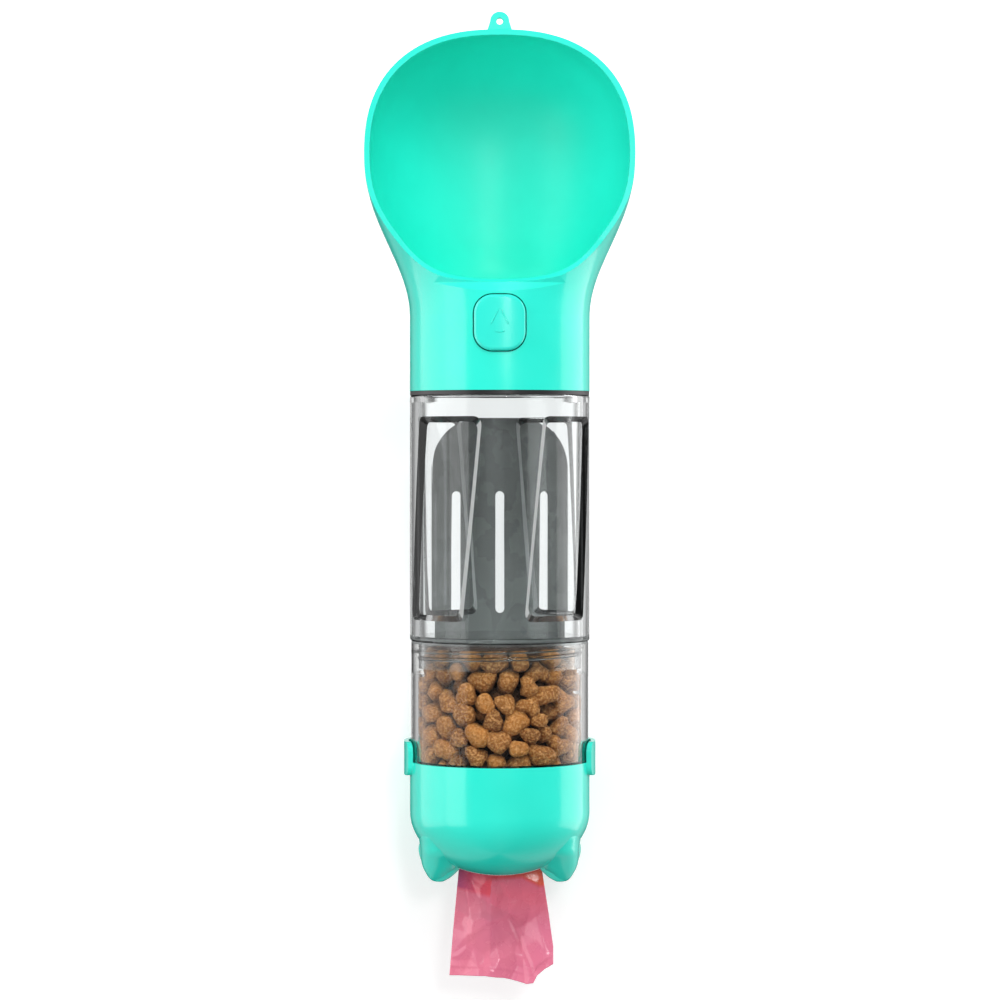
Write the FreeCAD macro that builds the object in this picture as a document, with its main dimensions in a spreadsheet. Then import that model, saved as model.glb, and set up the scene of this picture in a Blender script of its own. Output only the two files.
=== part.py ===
"""Pet travel bottle: drinking bowl, water bottle, food jar, bag box and scoop on one axis.

Units are millimetres. +Z is up, the front (button side) looks along -Y, and the origin is
the centre of the hang hole at the top of the bowl. Every piece is drawn about the bottle's
axis at that height, and moved back at the end, because the hole lies in front of the axis.
"""
import FreeCAD
import Part
import Sketcher
import math
import os

Vec = FreeCAD.Vector
doc = FreeCAD.newDocument("travel_bottle")

# The driving sizes: name, value in mm (or degrees), and what it is.
SIZES = [
    ("tab_hole_radius", 1.2, "hang hole"),
    ("tab_edge", 2.2, "material round the hang hole"),
    ("tab_thick", 2.4, "hang tab, front to back"),
    ("tab_drop", 2.9, "hang hole down to the top of the bowl"),
    ("bowl_half_width", 48.4, "bowl outside, centre to side"),
    ("bowl_half_height", 45.1, "bowl outside, top down to its widest level"),
    ("bowl_power", 2.4, "squareness of the bowl's outline, 2 is an ellipse"),
    ("bowl_forward", 14.0, "how far the bowl's widest line lies in front of the axis"),
    ("bowl_wall", 2.0, "bowl wall"),
    ("bowl_floor_drop", 47.2, "bowl's widest level down to its floor"),
    ("bowl_floor_round", 8.0, "rounding of the floor's edge"),
    ("flare_length", 57.0, "bowl's widest level down to the straight skirt"),
    ("flare_bend", 1.13, "where the flare bends most, more is lower"),
    ("rim_setback", 12.5, "rim's top edge in front of the axis"),
    ("rim_lean", 4.8, "rim line from the vertical, in degrees"),
    ("rim_sweep_radius", 18.0, "rim's curve towards the front lip"),
    ("lip_forward", 31.3, "front lip's edge in front of the axis"),
    ("lip_drop", 45.8, "bowl's widest level down to the lip's edge"),
    ("lip_bevel", 4.4, "bevel under the lip, height"),
    ("lip_bevel_depth", 1.7, "bevel under the lip, front to back"),
    ("lip_curve", 41.5, "radius of the lip, seen from above"),
    ("body_radius", 32.5, "bottle and skirt outside"),
    ("skirt_straight", 26.9, "straight part of the skirt"),
    ("skirt_bore_radius", 30.5, "skirt inside, round the bottle's neck"),
    ("skirt_step", 0.6, "ledge that the valve disc seats on"),
    ("button_width", 18.2, "button, side to side"),
    ("button_height", 19.8, "button, top to bottom"),
    ("button_corner", 6.6, "button's corner radius"),
    ("button_proud", 1.5, "button's face in front of the skirt"),
    ("button_face_round", 1.2, "rounding round the button's face"),
    ("button_gap", 0.35, "gap round the button"),
    ("button_depth", 7.7, "button's face back to its rear edge"),
    ("button_wall", 1.6, "button's shell"),
    ("button_drop", 14.4, "lip down to the button's centre"),
    ("button_travel", 2.5, "button's stroke"),
    ("rod_radius", 1.6, "push rod"),
    ("running_gap", 0.05, "radial gap of a sliding fit"),
    ("rod_socket_radius", 3.2, "socket on the button that holds the rod"),
    ("rod_ring_section", 1.28, "thickness of the rod's sealing ring"),
    ("barrel_radius", 7.6, "valve barrel outside"),
    ("barrel_front", 22.0, "barrel's front face in front of the axis"),
    ("barrel_length", 30.0, "barrel, front to back"),
    ("guide_length", 4.4, "front end of the barrel that guides the rod"),
    ("chamber_radius", 4.6, "front chamber"),
    ("seat_place", 17.4, "barrel's front face back to the valve seat"),
    ("seat_web", 1.6, "thickness of the valve seat"),
    ("seat_radius", 2.8, "water passage through the seat"),
    ("rear_chamber_radius", 5.6, "rear chamber"),
    ("washer_radius", 4.5, "valve washer"),
    ("washer_thick", 1.8, "valve washer"),
    ("clip_radius", 3.2, "clip behind the washer"),
    ("clip_thick", 1.2, "clip behind the washer"),
    ("plug_depth", 3.6, "plug's stem in the barrel"),
    ("plug_flange", 1.6, "plug's flange"),
    ("plug_ring_section", 1.1, "thickness of the plug's sealing ring"),
    ("duct_radius", 2.5, "inlet and outlet ducts"),
    ("duct_wall", 1.5, "wall of the duct columns"),
    ("outlet_forward", 11.5, "outlet in front of the axis"),
    ("inlet_back", 1.2, "inlet behind the axis"),
    ("disc_thick", 2.6, "valve disc"),
    ("disc_drop", 10.9, "button's centre down to the disc"),
    ("gasket_thick", 1.5, "flat gasket on the bottle's mouth"),
    ("ring_thick", 1.5, "black ring, height"),
    ("ring_inset", 0.15, "black ring's edge inside the skirt's"),
    ("neck_radius", 29.4, "bottle's neck outside"),
    ("neck_wall", 2.2, "bottle's neck"),
    ("bottle_length", 88.4, "shoulder down to the bottle's lower edge"),
    ("bottle_wall", 3.2, "bottle wall between the grip recesses"),
    ("bottle_floor", 2.0, "bottle's floor"),
    ("shoulder_thick", 2.6, "bottle's shoulder"),
    ("shoulder_round", 0.8, "rounding of the bottle's outer edges"),
    ("grip_depth", 1.9, "depth of a grip recess"),
    ("grip_count", 4, "number of grip recesses"),
    ("grip_turn", 42.7, "first recess's centre to the left of the front, in degrees"),
    ("grip_drop", 7.7, "shoulder down to the recess"),
    ("grip_length", 72.7, "recess, top to bottom"),
    ("grip_width", 28.2, "recess, side to side"),
    ("grip_lean", 5.7, "slant of the recess, in degrees"),
    ("grip_corner", 4.6, "corner radius of the recess"),
    ("grip_slope", 45.0, "slope of the recess's walls, in degrees"),
    ("screw_radius", 29.3, "lower screw ring outside"),
    ("screw_wall", 1.8, "lower screw ring"),
    ("screw_length", 9.8, "lower screw ring, height"),
    ("food_seal_thick", 0.8, "seal between bottle and jar"),
    ("jar_radius", 32.1, "food jar outside"),
    ("jar_wall", 2.5, "food jar"),
    ("jar_mouth_wall", 1.2, "food jar's mouth, round the screw ring"),
    ("jar_mouth_depth", 10.6, "food jar's mouth"),
    ("jar_shown", 42.7, "food jar above the base's rim"),
    ("jar_foot_radius", 30.2, "jar's foot, in the base"),
    ("jar_foot_length", 6.0, "jar's foot, in the base"),
    ("jar_floor", 2.0, "jar's floor"),
    ("food_gap", 0.3, "gap between food and jar"),
    ("food_top_gap", 2.6, "food's top below the bottle's floor"),
    ("base_wall", 2.0, "base's wall"),
    ("base_straight", 18.2, "base, straight part"),
    ("dome_height", 23.1, "base's rounded bottom"),
    ("ear_place", 22.0, "ear's tip from the axis"),
    ("ear_drop", 2.5, "ear's tip below the rounded bottom"),
    ("ear_tip_radius", 1.6, "ear's tip"),
    ("ear_low_place", 21.3, "ear's lower part from the axis"),
    ("ear_low_half_width", 3.7, "ear's lower part, half its width"),
    ("ear_low_half_depth", 3.2, "ear's lower part, half its depth"),
    ("ear_low_height", 1.6, "ear, tip to lower part"),
    ("ear_middle_place", 20.3, "ear's middle from the axis"),
    ("ear_middle_half_width", 7.9, "ear's middle, half its width"),
    ("ear_middle_half_depth", 5.6, "ear's middle, half its depth"),
    ("ear_middle_height", 7.0, "ear, tip to middle"),
    ("ear_root_place", 16.2, "ear's root from the axis"),
    ("ear_root_half_width", 12.3, "ear's root, half its width"),
    ("ear_root_half_depth", 8.5, "ear's root, half its depth"),
    ("ear_height", 15.0, "ear, tip to root"),
    ("outlet_half_width", 20.5, "bag slot, half its width"),
    ("outlet_depth", 5.0, "bag slot, front to back"),
    ("roll_radius", 10.0, "roll of bags"),
    ("roll_length", 40.0, "roll of bags"),
    ("core_radius", 4.2, "roll's core outside"),
    ("core_wall", 0.9, "roll's core"),
    ("core_proud", 1.0, "core beyond the roll at each end"),
    ("roll_forward", 7.0, "roll's axis in front of the bottle's axis"),
    ("roll_drop", 22.0, "base's rim down to the roll's axis"),
    ("cradle_gap", 0.3, "gap between roll and cradle ribs"),
    ("cradle_place", 15.0, "cradle rib from the axis"),
    ("cradle_thick", 1.6, "cradle rib"),
    ("tail_thick", 0.6, "folded film that hangs out"),
    ("tail_top_half_width", 14.9, "hanging film at the base"),
    ("tail_left", 18.3, "hanging film's lower left corner from the axis"),
    ("tail_right", 19.4, "hanging film's right corner from the axis"),
    ("tail_left_drop", 37.6, "rounded bottom down to the lower left corner"),
    ("tail_right_drop", 32.6, "rounded bottom down to the right corner"),
    ("tail_tip_place", 11.4, "hanging film's lowest tip from the axis"),
    ("tail_tip_drop", 40.0, "rounded bottom down to the lowest tip"),
    ("strap_clear", 0.5, "gap between the scoop's handle and the strap"),
    ("strap_wall", 1.7, "strap"),
    ("strap_back", 1.8, "strap's centre behind the axis"),
    ("strap_grip", 9.3, "strap's ends in front of the axis"),
    ("strap_round", 3.5, "rounding of the strap's ends"),
    ("strap_rise", 7.3, "strap above the base's rim"),
    ("strap_height", 12.1, "strap, top to bottom"),
    ("strap_floor", 1.4, "ledge under the scoop's handle"),
    ("scoop_gap", 0.3, "gap between scoop and bottle"),
    ("scoop_thick", 1.5, "scoop's wall"),
    ("scoop_half_width", 26.4, "scoop's blade, half its width"),
    ("scoop_top_drop", 7.8, "bottle's shoulder down to the scoop's top edge"),
    ("scoop_shoulder", 20.0, "rounded end of the blade, height"),
    ("blade_length", 92.0, "scoop's blade"),
    ("taper_length", 14.0, "blade's taper to the handle"),
    ("handle_half_width", 13.0, "scoop's handle, half its width"),
    ("slot_half_width", 1.75, "blade slot, half its width"),
    ("slot_length", 45.1, "blade slot, end to end"),
    ("slot_drop", 27.1, "blade's top edge down to the slots"),
    ("slot_spread", 16.6, "outer slots from the middle one"),
]

sheet = doc.addObject("Spreadsheet::Sheet", "Sizes")
for row, (alias, value, note) in enumerate(SIZES, start=1):
    sheet.set("A%d" % row, alias)
    sheet.set("B%d" % row, str(value))
    sheet.setAlias("B%d" % row, alias)
    sheet.set("C%d" % row, note)
doc.recompute()


class Size:
    """A length that carries both its number and the expression it comes from."""

    def __init__(self, value, text):
        self.value = float(value)
        self.text = text

    def __add__(self, other):
        other = as_size(other)
        return Size(self.value + other.value, "(%s + %s)" % (self.text, other.text))

    def __sub__(self, other):
        other = as_size(other)
        return Size(self.value - other.value, "(%s - %s)" % (self.text, other.text))

    def __mul__(self, other):
        other = as_size(other)
        return Size(self.value * other.value, "(%s * %s)" % (self.text, other.text))

    def __truediv__(self, other):
        other = as_size(other)
        return Size(self.value / other.value, "(%s / %s)" % (self.text, other.text))

    def __neg__(self):
        return Size(-self.value, "(0 - %s)" % self.text)


def as_size(thing):
    """A plain number becomes a Size too."""
    if isinstance(thing, Size):
        return thing
    return Size(thing, repr(float(thing)))


class Sizes:
    """Every cell of the sheet as an attribute."""


size = Sizes()
for alias, value, note in SIZES:
    setattr(size, alias, Size(value, "Sizes." + alias))

zero = as_size(0)

# Levels down the axis, each from the one above it.
z_bowl_top = -size.tab_drop
z_bowl_mid = z_bowl_top - size.bowl_half_height
z_bowl_floor = z_bowl_mid - size.bowl_floor_drop
z_lip = z_bowl_mid - size.lip_drop
z_flare_end = z_bowl_mid - size.flare_length
z_skirt_end = z_flare_end - size.skirt_straight
z_button = z_lip - size.button_drop
z_disc = z_button - size.disc_drop
z_gasket = z_disc - size.disc_thick
z_neck_top = z_gasket - size.gasket_thick
z_shoulder = z_skirt_end - size.ring_thick
z_bottle_end = z_shoulder - size.bottle_length
z_screw_end = z_bottle_end - size.screw_length
z_jar_top = z_bottle_end - size.food_seal_thick
z_base_rim = z_jar_top - size.jar_shown
z_jar_end = z_base_rim - size.jar_foot_length
z_dome = z_base_rim - size.base_straight
z_base_end = z_dome - size.dome_height
z_ear_tip = z_base_end - size.ear_drop
z_roll = z_base_rim - size.roll_drop
z_strap_top = z_base_rim + size.strap_rise
z_strap_end = z_strap_top - size.strap_height
z_scoop_top = z_shoulder - size.scoop_top_drop
z_scoop_end = z_strap_end + size.strap_floor

# Places from front to back, for the valve.
y_barrel = -size.barrel_front
y_barrel_end = y_barrel + size.barrel_length
y_seat = y_barrel + size.seat_place
y_seat_end = y_seat + size.seat_web
y_washer_end = y_seat_end + size.washer_thick
y_clip_end = y_washer_end + size.clip_thick
y_button_face = -(size.body_radius + size.button_proud)
y_button_rear = y_button_face + size.button_depth
y_button_inner = y_button_face + size.button_wall + 1.1
y_tail = size.roll_radius - size.roll_forward + size.tail_thick / 2 + size.cradle_gap
handle_inner = size.body_radius + size.scoop_gap
strap_inner = handle_inner + size.scoop_thick + size.strap_clear - size.strap_back
strap_radius = strap_inner + size.strap_wall


def drive(thing, prop, length):
    """Bind one property of an object to the sheet."""
    thing.setExpression(prop, length.text)


def place(thing, x=zero, y=zero, z=zero, turn=None):
    """Put a solid at x, y, z, with an optional (axis, degrees) turn, bound to the sheet."""
    rotation = FreeCAD.Rotation(*turn) if turn else FreeCAD.Rotation()
    thing.Placement = FreeCAD.Placement(Vec(x.value, y.value, z.value), rotation)
    for axis, length in (("x", x), ("y", y), ("z", z)):
        drive(thing, "Placement.Base." + axis, length)
    return thing


def primitive(kind, name, at=(zero, zero, zero), turn=None, **lengths):
    """A Part primitive whose lengths follow the sheet."""
    thing = doc.addObject("Part::" + kind, name)
    for prop, length in lengths.items():
        setattr(thing, prop, as_size(length).value)
        drive(thing, prop, as_size(length))
    return place(thing, at[0], at[1], at[2], turn)


TO_BACK = (Vec(1, 0, 0), -90)


def rod(name, radius, y_start, y_end, z, x=zero):
    """A cylinder that runs from y_start back to y_end."""
    return primitive("Cylinder", name, (x, y_start, z), TO_BACK,
                     Radius=radius, Height=y_end - y_start)


def upright(name, radius, z_low, z_high, x=zero, y=zero):
    """A cylinder that stands between two levels."""
    return primitive("Cylinder", name, (x, y, z_low), Radius=radius, Height=z_high - z_low)


def block(name, x_low, x_high, y_low, y_high, z_low, z_high):
    """A box between two corners."""
    return primitive("Box", name, (x_low, y_low, z_low), Length=x_high - x_low,
                     Width=y_high - y_low, Height=z_high - z_low)


def cut(name, base, tool):
    """Base without tool."""
    result = doc.addObject("Part::Cut", name)
    result.Base = base
    result.Tool = tool
    return result


def fuse(name, *things):
    """All things in one."""
    result = doc.addObject("Part::MultiFuse", name)
    result.Shapes = list(things)
    return result


def common(name, *things):
    """What all things share."""
    result = doc.addObject("Part::MultiCommon", name)
    result.Shapes = list(things)
    return result


def tube(name, outer, inner, z_low, z_high, y=zero):
    """An upright ring."""
    slack = 1
    return cut(name, upright(name + "_outer", outer, z_low, z_high, y=y),
               upright(name + "_inner", inner, z_low - slack, z_high + slack, y=y))


def computed(name, shape):
    """A solid whose shape this script works out."""
    thing = doc.addObject("Part::Feature", name)
    thing.Shape = shape
    return thing


def new_body(name):
    """An empty body."""
    return doc.addObject("PartDesign::Body", name)


def new_sketch(body, name, role, offset=zero, lift=zero):
    """A sketch on one of the body's planes, moved off it by offset and up it by lift."""
    plane = [item for item in body.Origin.OriginFeatures if item.Role == role][0]
    sketch = body.newObject("Sketcher::SketchObject", name)
    sketch.AttachmentSupport = (plane, [""])
    sketch.MapMode = "FlatFace"
    base = Vec(0, lift.value, offset.value)
    sketch.AttachmentOffset = FreeCAD.Placement(base, FreeCAD.Rotation())
    drive(sketch, "AttachmentOffset.Base.z", offset)
    drive(sketch, "AttachmentOffset.Base.y", lift)
    return sketch


def fix_point(sketch, item, end, x, y):
    """Hold one point of a sketch at x, y from its origin."""
    for kind, length in (("DistanceX", x), ("DistanceY", y)):
        index = sketch.addConstraint(Sketcher.Constraint(kind, -1, 1, item, end, length.value))
        sketch.setExpression("Constraints[%d]" % index, length.text)


def draw_outline(sketch, points):
    """A closed outline of straight lines through points."""
    first = sketch.GeometryCount
    flat = [Vec(x.value, y.value, 0) for x, y in points]
    for start, end in zip(flat, flat[1:] + flat[:1]):
        sketch.addGeometry(Part.LineSegment(start, end), False)
    count = len(points)
    for step, (x, y) in enumerate(points):
        sketch.addConstraint(Sketcher.Constraint(
            "Coincident", first + (step - 1) % count, 2, first + step, 1))
        fix_point(sketch, first + step, 1, x, y)


def draw_circle(sketch, x, y, radius):
    """A circle at x, y."""
    item = sketch.addGeometry(Part.Circle(Vec(x.value, y.value, 0), Vec(0, 0, 1), radius.value),
                              False)
    fix_point(sketch, item, 3, x, y)
    index = sketch.addConstraint(Sketcher.Constraint("Radius", item, radius.value))
    sketch.setExpression("Constraints[%d]" % index, radius.text)


def draw_slot(sketch, x, y_low, y_high, half):
    """An upright slot with round ends, its ends at y_low and y_high."""
    first = sketch.GeometryCount
    low = y_low + half
    high = y_high - half
    up = Vec(0, 0, 1)
    side = Vec(half.value, 0, 0)
    foot = Vec(x.value, low.value, 0)
    head = Vec(x.value, high.value, 0)
    sketch.addGeometry(Part.ArcOfCircle(Part.Circle(foot, up, half.value), math.pi, 2 * math.pi),
                       False)
    sketch.addGeometry(Part.LineSegment(foot + side, head + side), False)
    sketch.addGeometry(Part.ArcOfCircle(Part.Circle(head, up, half.value), 0, math.pi), False)
    sketch.addGeometry(Part.LineSegment(head - side, foot - side), False)
    for here, there in ((0, 1), (1, 2), (2, 3), (3, 0)):
        sketch.addConstraint(Sketcher.Constraint("Tangent", first + here, 2, first + there, 1))
    fix_point(sketch, first, 3, x, low)
    fix_point(sketch, first + 2, 3, x, high)
    index = sketch.addConstraint(Sketcher.Constraint("Radius", first, half.value))
    sketch.setExpression("Constraints[%d]" % index, half.text)


def box_points(half_x, y_low, y_high):
    """The corners of a rectangle about the vertical axis."""
    return [(-half_x, y_low), (half_x, y_low), (half_x, y_high), (-half_x, y_high)]


def pad(body, sketch, name, length, back=False, both=False, taper=None):
    """Raise a sketch into a solid."""
    feature = body.newObject("PartDesign::Pad", name)
    feature.Profile = sketch
    feature.Length = length.value
    drive(feature, "Length", length)
    feature.Reversed = back
    feature.Midplane = both
    if taper:
        feature.TaperAngle = taper.value
        drive(feature, "TaperAngle", taper)
    return feature


def pocket(body, sketch, name, length, back=False, both=False):
    """Cut a sketch into the solid. Its volume has to go down."""
    doc.recompute()
    before = body.Shape.Volume
    feature = body.newObject("PartDesign::Pocket", name)
    feature.Profile = sketch
    feature.Length = length.value
    drive(feature, "Length", length)
    feature.Reversed = back
    feature.Midplane = both
    doc.recompute()
    if body.Shape.Volume > before - 1e-6:
        raise RuntimeError(name + " cuts nothing")
    return feature


def spin(body, sketch, name, kind="PartDesign::Revolution", axis="V_Axis"):
    """Turn a sketch about one of its own axes, as a solid or as a cut."""
    feature = body.newObject(kind, name)
    feature.Profile = sketch
    feature.ReferenceAxis = (sketch, [axis])
    feature.Angle = 360
    return feature


def turned(name, points):
    """A body turned about the bottle's axis from its half section, points as (radius, z)."""
    body = new_body(name)
    sketch = new_sketch(body, name + "_section", "XZ_Plane")
    draw_outline(sketch, points)
    spin(body, sketch, name + "_turn")
    return body


def edges_where(shape, test):
    """Names of the edges that pass a test."""
    return ["Edge%d" % (number + 1) for number, edge in enumerate(shape.Edges) if test(edge)]


def along_y(edge):
    """True for a straight edge that runs front to back."""
    if not isinstance(edge.Curve, Part.Line):
        return False
    return abs(edge.Curve.Direction.y) > 0.999


def round_edges(body, base, name, radius, test):
    """Round the edges of a body's feature that pass a test."""
    doc.recompute()
    feature = body.newObject("PartDesign::Fillet", name)
    feature.Base = (base, edges_where(base.Shape, test))
    feature.Radius = radius.value
    drive(feature, "Radius", radius)
    return feature


# The head: outline levels of the bowl, and the ellipse at each.

def flare_share(drop):
    """1 at the bowl's widest level, 0 where the straight skirt starts."""
    return (1 + math.cos(math.pi * drop ** size.flare_bend.value)) / 2


def flare_section(inset, drop):
    """Half width, half depth and forward shift of the flare, at drop from 0 to 1."""
    share = flare_share(drop)
    radius = size.body_radius.value
    width = radius + (size.bowl_half_width.value - radius) * share
    forward = size.bowl_forward.value * share ** 2
    return width - inset, radius + forward - inset, forward


def ellipse_wire(half_width, half_depth, forward, z):
    """A level ellipse about the axis."""
    stretch = FreeCAD.Matrix()
    stretch.scale(half_width, half_depth, 1)
    stretch.move(Vec(0, -forward, z))
    circle = Part.Wire(Part.Edge(Part.Circle(Vec(0, 0, 0), Vec(0, 0, 1), 1)))
    return circle.transformGeometry(stretch)


def head_sections(inset):
    """Level sections from the bowl's widest level to just under its top, then the top."""
    power = 2 / size.bowl_power.value
    forward = size.bowl_forward.value
    width = size.bowl_half_width.value - inset
    depth = size.body_radius.value + forward - inset
    height = size.bowl_half_height.value - inset
    wires = []
    for angle in (0, 14, 28, 41, 53, 64, 74, 82):
        across = math.cos(math.radians(angle)) ** power
        up = math.sin(math.radians(angle)) ** power
        wires.append(ellipse_wire(width * across, depth * across, forward,
                                  z_bowl_mid.value + height * up))
    wires.append(Part.Vertex(Vec(0, -forward, z_bowl_mid.value + height)))
    return wires


def outer_form():
    """The bowl's outer form, down to the straight skirt."""
    wires = []
    for drop in (1.0, 0.86, 0.72, 0.58, 0.44, 0.3, 0.15):
        width, depth, forward = flare_section(0, drop)
        z = z_bowl_mid.value - drop * size.flare_length.value
        wires.append(ellipse_wire(width, depth, forward, z))
    return Part.makeLoft(wires + head_sections(0), True, False)


def inner_form():
    """The bowl's hollow, from its rounded floor up."""
    wires = []
    wall = size.bowl_wall.value
    rounding = size.bowl_floor_round.value
    floor_drop = size.bowl_floor_drop.value
    for share in (0.0, 0.12, 0.3, 0.6, 1.0):
        rise = rounding * share
        inset = wall + rounding - math.sqrt(rounding ** 2 - (rounding - rise) ** 2)
        drop = floor_drop - rise
        width, depth, forward = flare_section(inset, drop / size.flare_length.value)
        wires.append(ellipse_wire(width, depth, forward, z_bowl_mid.value - drop))
    for share in (0.78, 0.5, 0.25):
        drop = (floor_drop - rounding) * share
        width, depth, forward = flare_section(wall, drop / size.flare_length.value)
        wires.append(ellipse_wire(width, depth, forward, z_bowl_mid.value - drop))
    return Part.makeLoft(wires + head_sections(wall), True, False)


def rim_cutter():
    """Everything in front of the rim: a leaning line and a sweep to the front lip."""
    lean = math.radians(size.rim_lean.value)
    sweep = size.rim_sweep_radius.value
    down = Vec(0, -math.sin(lean), -math.cos(lean))
    front = Vec(0, -math.cos(lean), math.sin(lean))
    top = Vec(0, -size.rim_setback.value, z_bowl_top.value)
    lip = Vec(0, -size.lip_forward.value, z_lip.value)
    gap = top + front * sweep - lip
    along = gap.dot(down)
    run = -along - math.sqrt(along ** 2 - gap.dot(gap) + sweep ** 2)
    start = top + down * run
    centre = start + front * sweep
    from_start = (start - centre).normalize()
    from_lip = (lip - centre).normalize()
    middle = centre + (from_start + from_lip).normalize() * sweep
    clear = size.body_radius.value
    above = top - down * (clear / 2)
    far = -4 * clear
    corners = [Vec(0, far, lip.z), Vec(0, far, above.z)]
    edges = [
        Part.LineSegment(above, start).toShape(),
        Part.Arc(start, middle, lip).toShape(),
        Part.LineSegment(lip, corners[0]).toShape(),
        Part.LineSegment(corners[0], corners[1]).toShape(),
        Part.LineSegment(corners[1], above).toShape(),
    ]
    reach = 2 * size.bowl_half_width.value
    face = Part.Face(Part.Wire(edges))
    face.translate(Vec(-reach, 0, 0))
    return face.extrude(Vec(2 * reach, 0, 0))


def lip_cutter():
    """What lies in front of the lip: a flatter curve than the bowl's, bevelled below."""
    behind = size.lip_curve - size.lip_forward
    low = z_lip - size.lip_bevel
    rise = size.lip_bevel * 2
    kept = primitive("Cone", "lip_cone", (zero, behind, low),
                     Radius1=size.lip_curve + size.lip_bevel_depth, Radius2=size.lip_curve,
                     Height=size.lip_bevel)
    above = primitive("Cone", "lip_wall", (zero, behind, z_lip), Radius1=size.lip_curve,
                      Radius2=size.lip_curve + size.lip_bevel_depth * 2, Height=rise)
    front = block("lip_front_block", -size.body_radius, size.body_radius,
                  -(size.body_radius * 2), -(size.body_radius / 2), low, z_lip + rise)
    return cut("lip_front", front, fuse("lip_kept", kept, above))


tab_rear = size.rim_setback - size.tab_thick * 1.2


def make_tab():
    """The hang tab: a rounded tongue in the rim's plane, narrowing upwards."""
    body = new_body("hang_tab")
    sketch = new_sketch(body, "tab_outline", "XZ_Plane", tab_rear)
    top_radius = size.tab_hole_radius + size.tab_edge
    foot = z_bowl_top - size.bowl_wall * 0.9
    draw_outline(sketch, [
        (-(top_radius * 1.45), foot), (top_radius * 1.45, foot),
        (top_radius, zero), (top_radius, top_radius),
        (-top_radius, top_radius), (-top_radius, zero)])
    raised = pad(body, sketch, "tab_pad", size.tab_thick)
    rounded = round_edges(body, raised, "tab_round", top_radius * 0.97,
                          lambda edge: along_y(edge) and edge.CenterOfMass.z > top_radius.value / 2)
    doc.recompute()
    hole = new_sketch(body, "tab_hole_circle", "XZ_Plane")
    draw_circle(hole, zero, zero, size.tab_hole_radius)
    pocket(body, hole, "tab_hole", size.body_radius * 4, both=True)
    return body


def rounded_prism(name, half_width, half_height, corner, y_rear, y_front):
    """A rounded rectangle about the button's axis, from y_rear forward to y_front."""
    body = new_body(name)
    sketch = new_sketch(body, name + "_outline", "XZ_Plane", -y_rear, z_button)
    draw_outline(sketch, box_points(half_width, -half_height, half_height))
    raised = pad(body, sketch, name + "_pad", y_rear - y_front)
    round_edges(body, raised, name + "_corners", corner, along_y)
    return body


def make_head():
    """The bowl, its rim and skirt, with the window for the button and the outlet hole."""
    outer = computed("bowl_outer", outer_form())
    hollow = computed("bowl_hollow", inner_form())
    front = computed("rim_front", rim_cutter())
    skirt = upright("skirt", size.body_radius, z_skirt_end, z_flare_end)
    ceiling = z_bowl_floor - size.bowl_wall
    bore = upright("skirt_bore", size.skirt_bore_radius, z_skirt_end - 1, z_disc)
    room = upright("valve_room", size.skirt_bore_radius - size.skirt_step, z_disc - 1, ceiling)
    window = rounded_prism("button_window", size.button_width / 2 + size.button_gap,
                           size.button_height / 2 + size.button_gap,
                           size.button_corner + size.button_gap,
                           -(size.body_radius - size.bowl_wall * 3), y_button_face * 1.1)
    outlet = upright("outlet_hole", size.duct_radius + size.duct_wall + size.running_gap,
                     ceiling - 1, z_bowl_floor + 1, y=-size.outlet_forward)
    bowl = cut("bowl_open", cut("bowl_shell", outer, hollow), fuse("front", front, lip_cutter()))
    solid = fuse("head_solid", bowl, skirt, make_tab())
    tools = fuse("head_tools", bore, room, window, outlet)
    return cut("head_shell", solid, tools)


def make_button():
    """The push button: a shell with a curved face, and the socket that holds the rod."""
    body = new_body("button_cap")
    sketch = new_sketch(body, "button_outline", "XZ_Plane", -y_button_rear, z_button)
    draw_outline(sketch, box_points(size.button_width / 2, -(size.button_height / 2),
                                    size.button_height / 2))
    raised = pad(body, sketch, "button_pad", size.button_depth + 1)
    rounded = round_edges(body, raised, "button_corners", size.button_corner, along_y)
    around = new_sketch(body, "button_face_rings", "XY_Plane", z_button)
    draw_circle(around, zero, zero, -y_button_face)
    draw_circle(around, zero, zero, -y_button_face * 2)
    pocket(body, around, "button_face", size.button_height * 2, both=True)
    inside = new_sketch(body, "button_inside", "XZ_Plane", -y_button_rear, z_button)
    inner_width = size.button_width / 2 - size.button_wall
    inner_height = size.button_height / 2 - size.button_wall
    draw_outline(inside, box_points(inner_width, -inner_height, inner_height))
    draw_circle(inside, zero, zero, size.rod_socket_radius)
    pocket(body, inside, "button_hollow", y_button_rear - y_button_inner, back=True)
    socket = new_sketch(body, "socket_circle", "XZ_Plane", -y_button_rear, z_button)
    draw_circle(socket, zero, zero, size.rod_radius)
    socketed = pocket(body, socket, "rod_socket", y_button_rear - y_button_inner, back=True)
    edge_place = y_button_face.value + size.button_face_round.value
    round_edges(body, socketed, "button_face_round", size.button_face_round,
                lambda edge: edge.BoundBox.YMax < edge_place)
    return body


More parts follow.
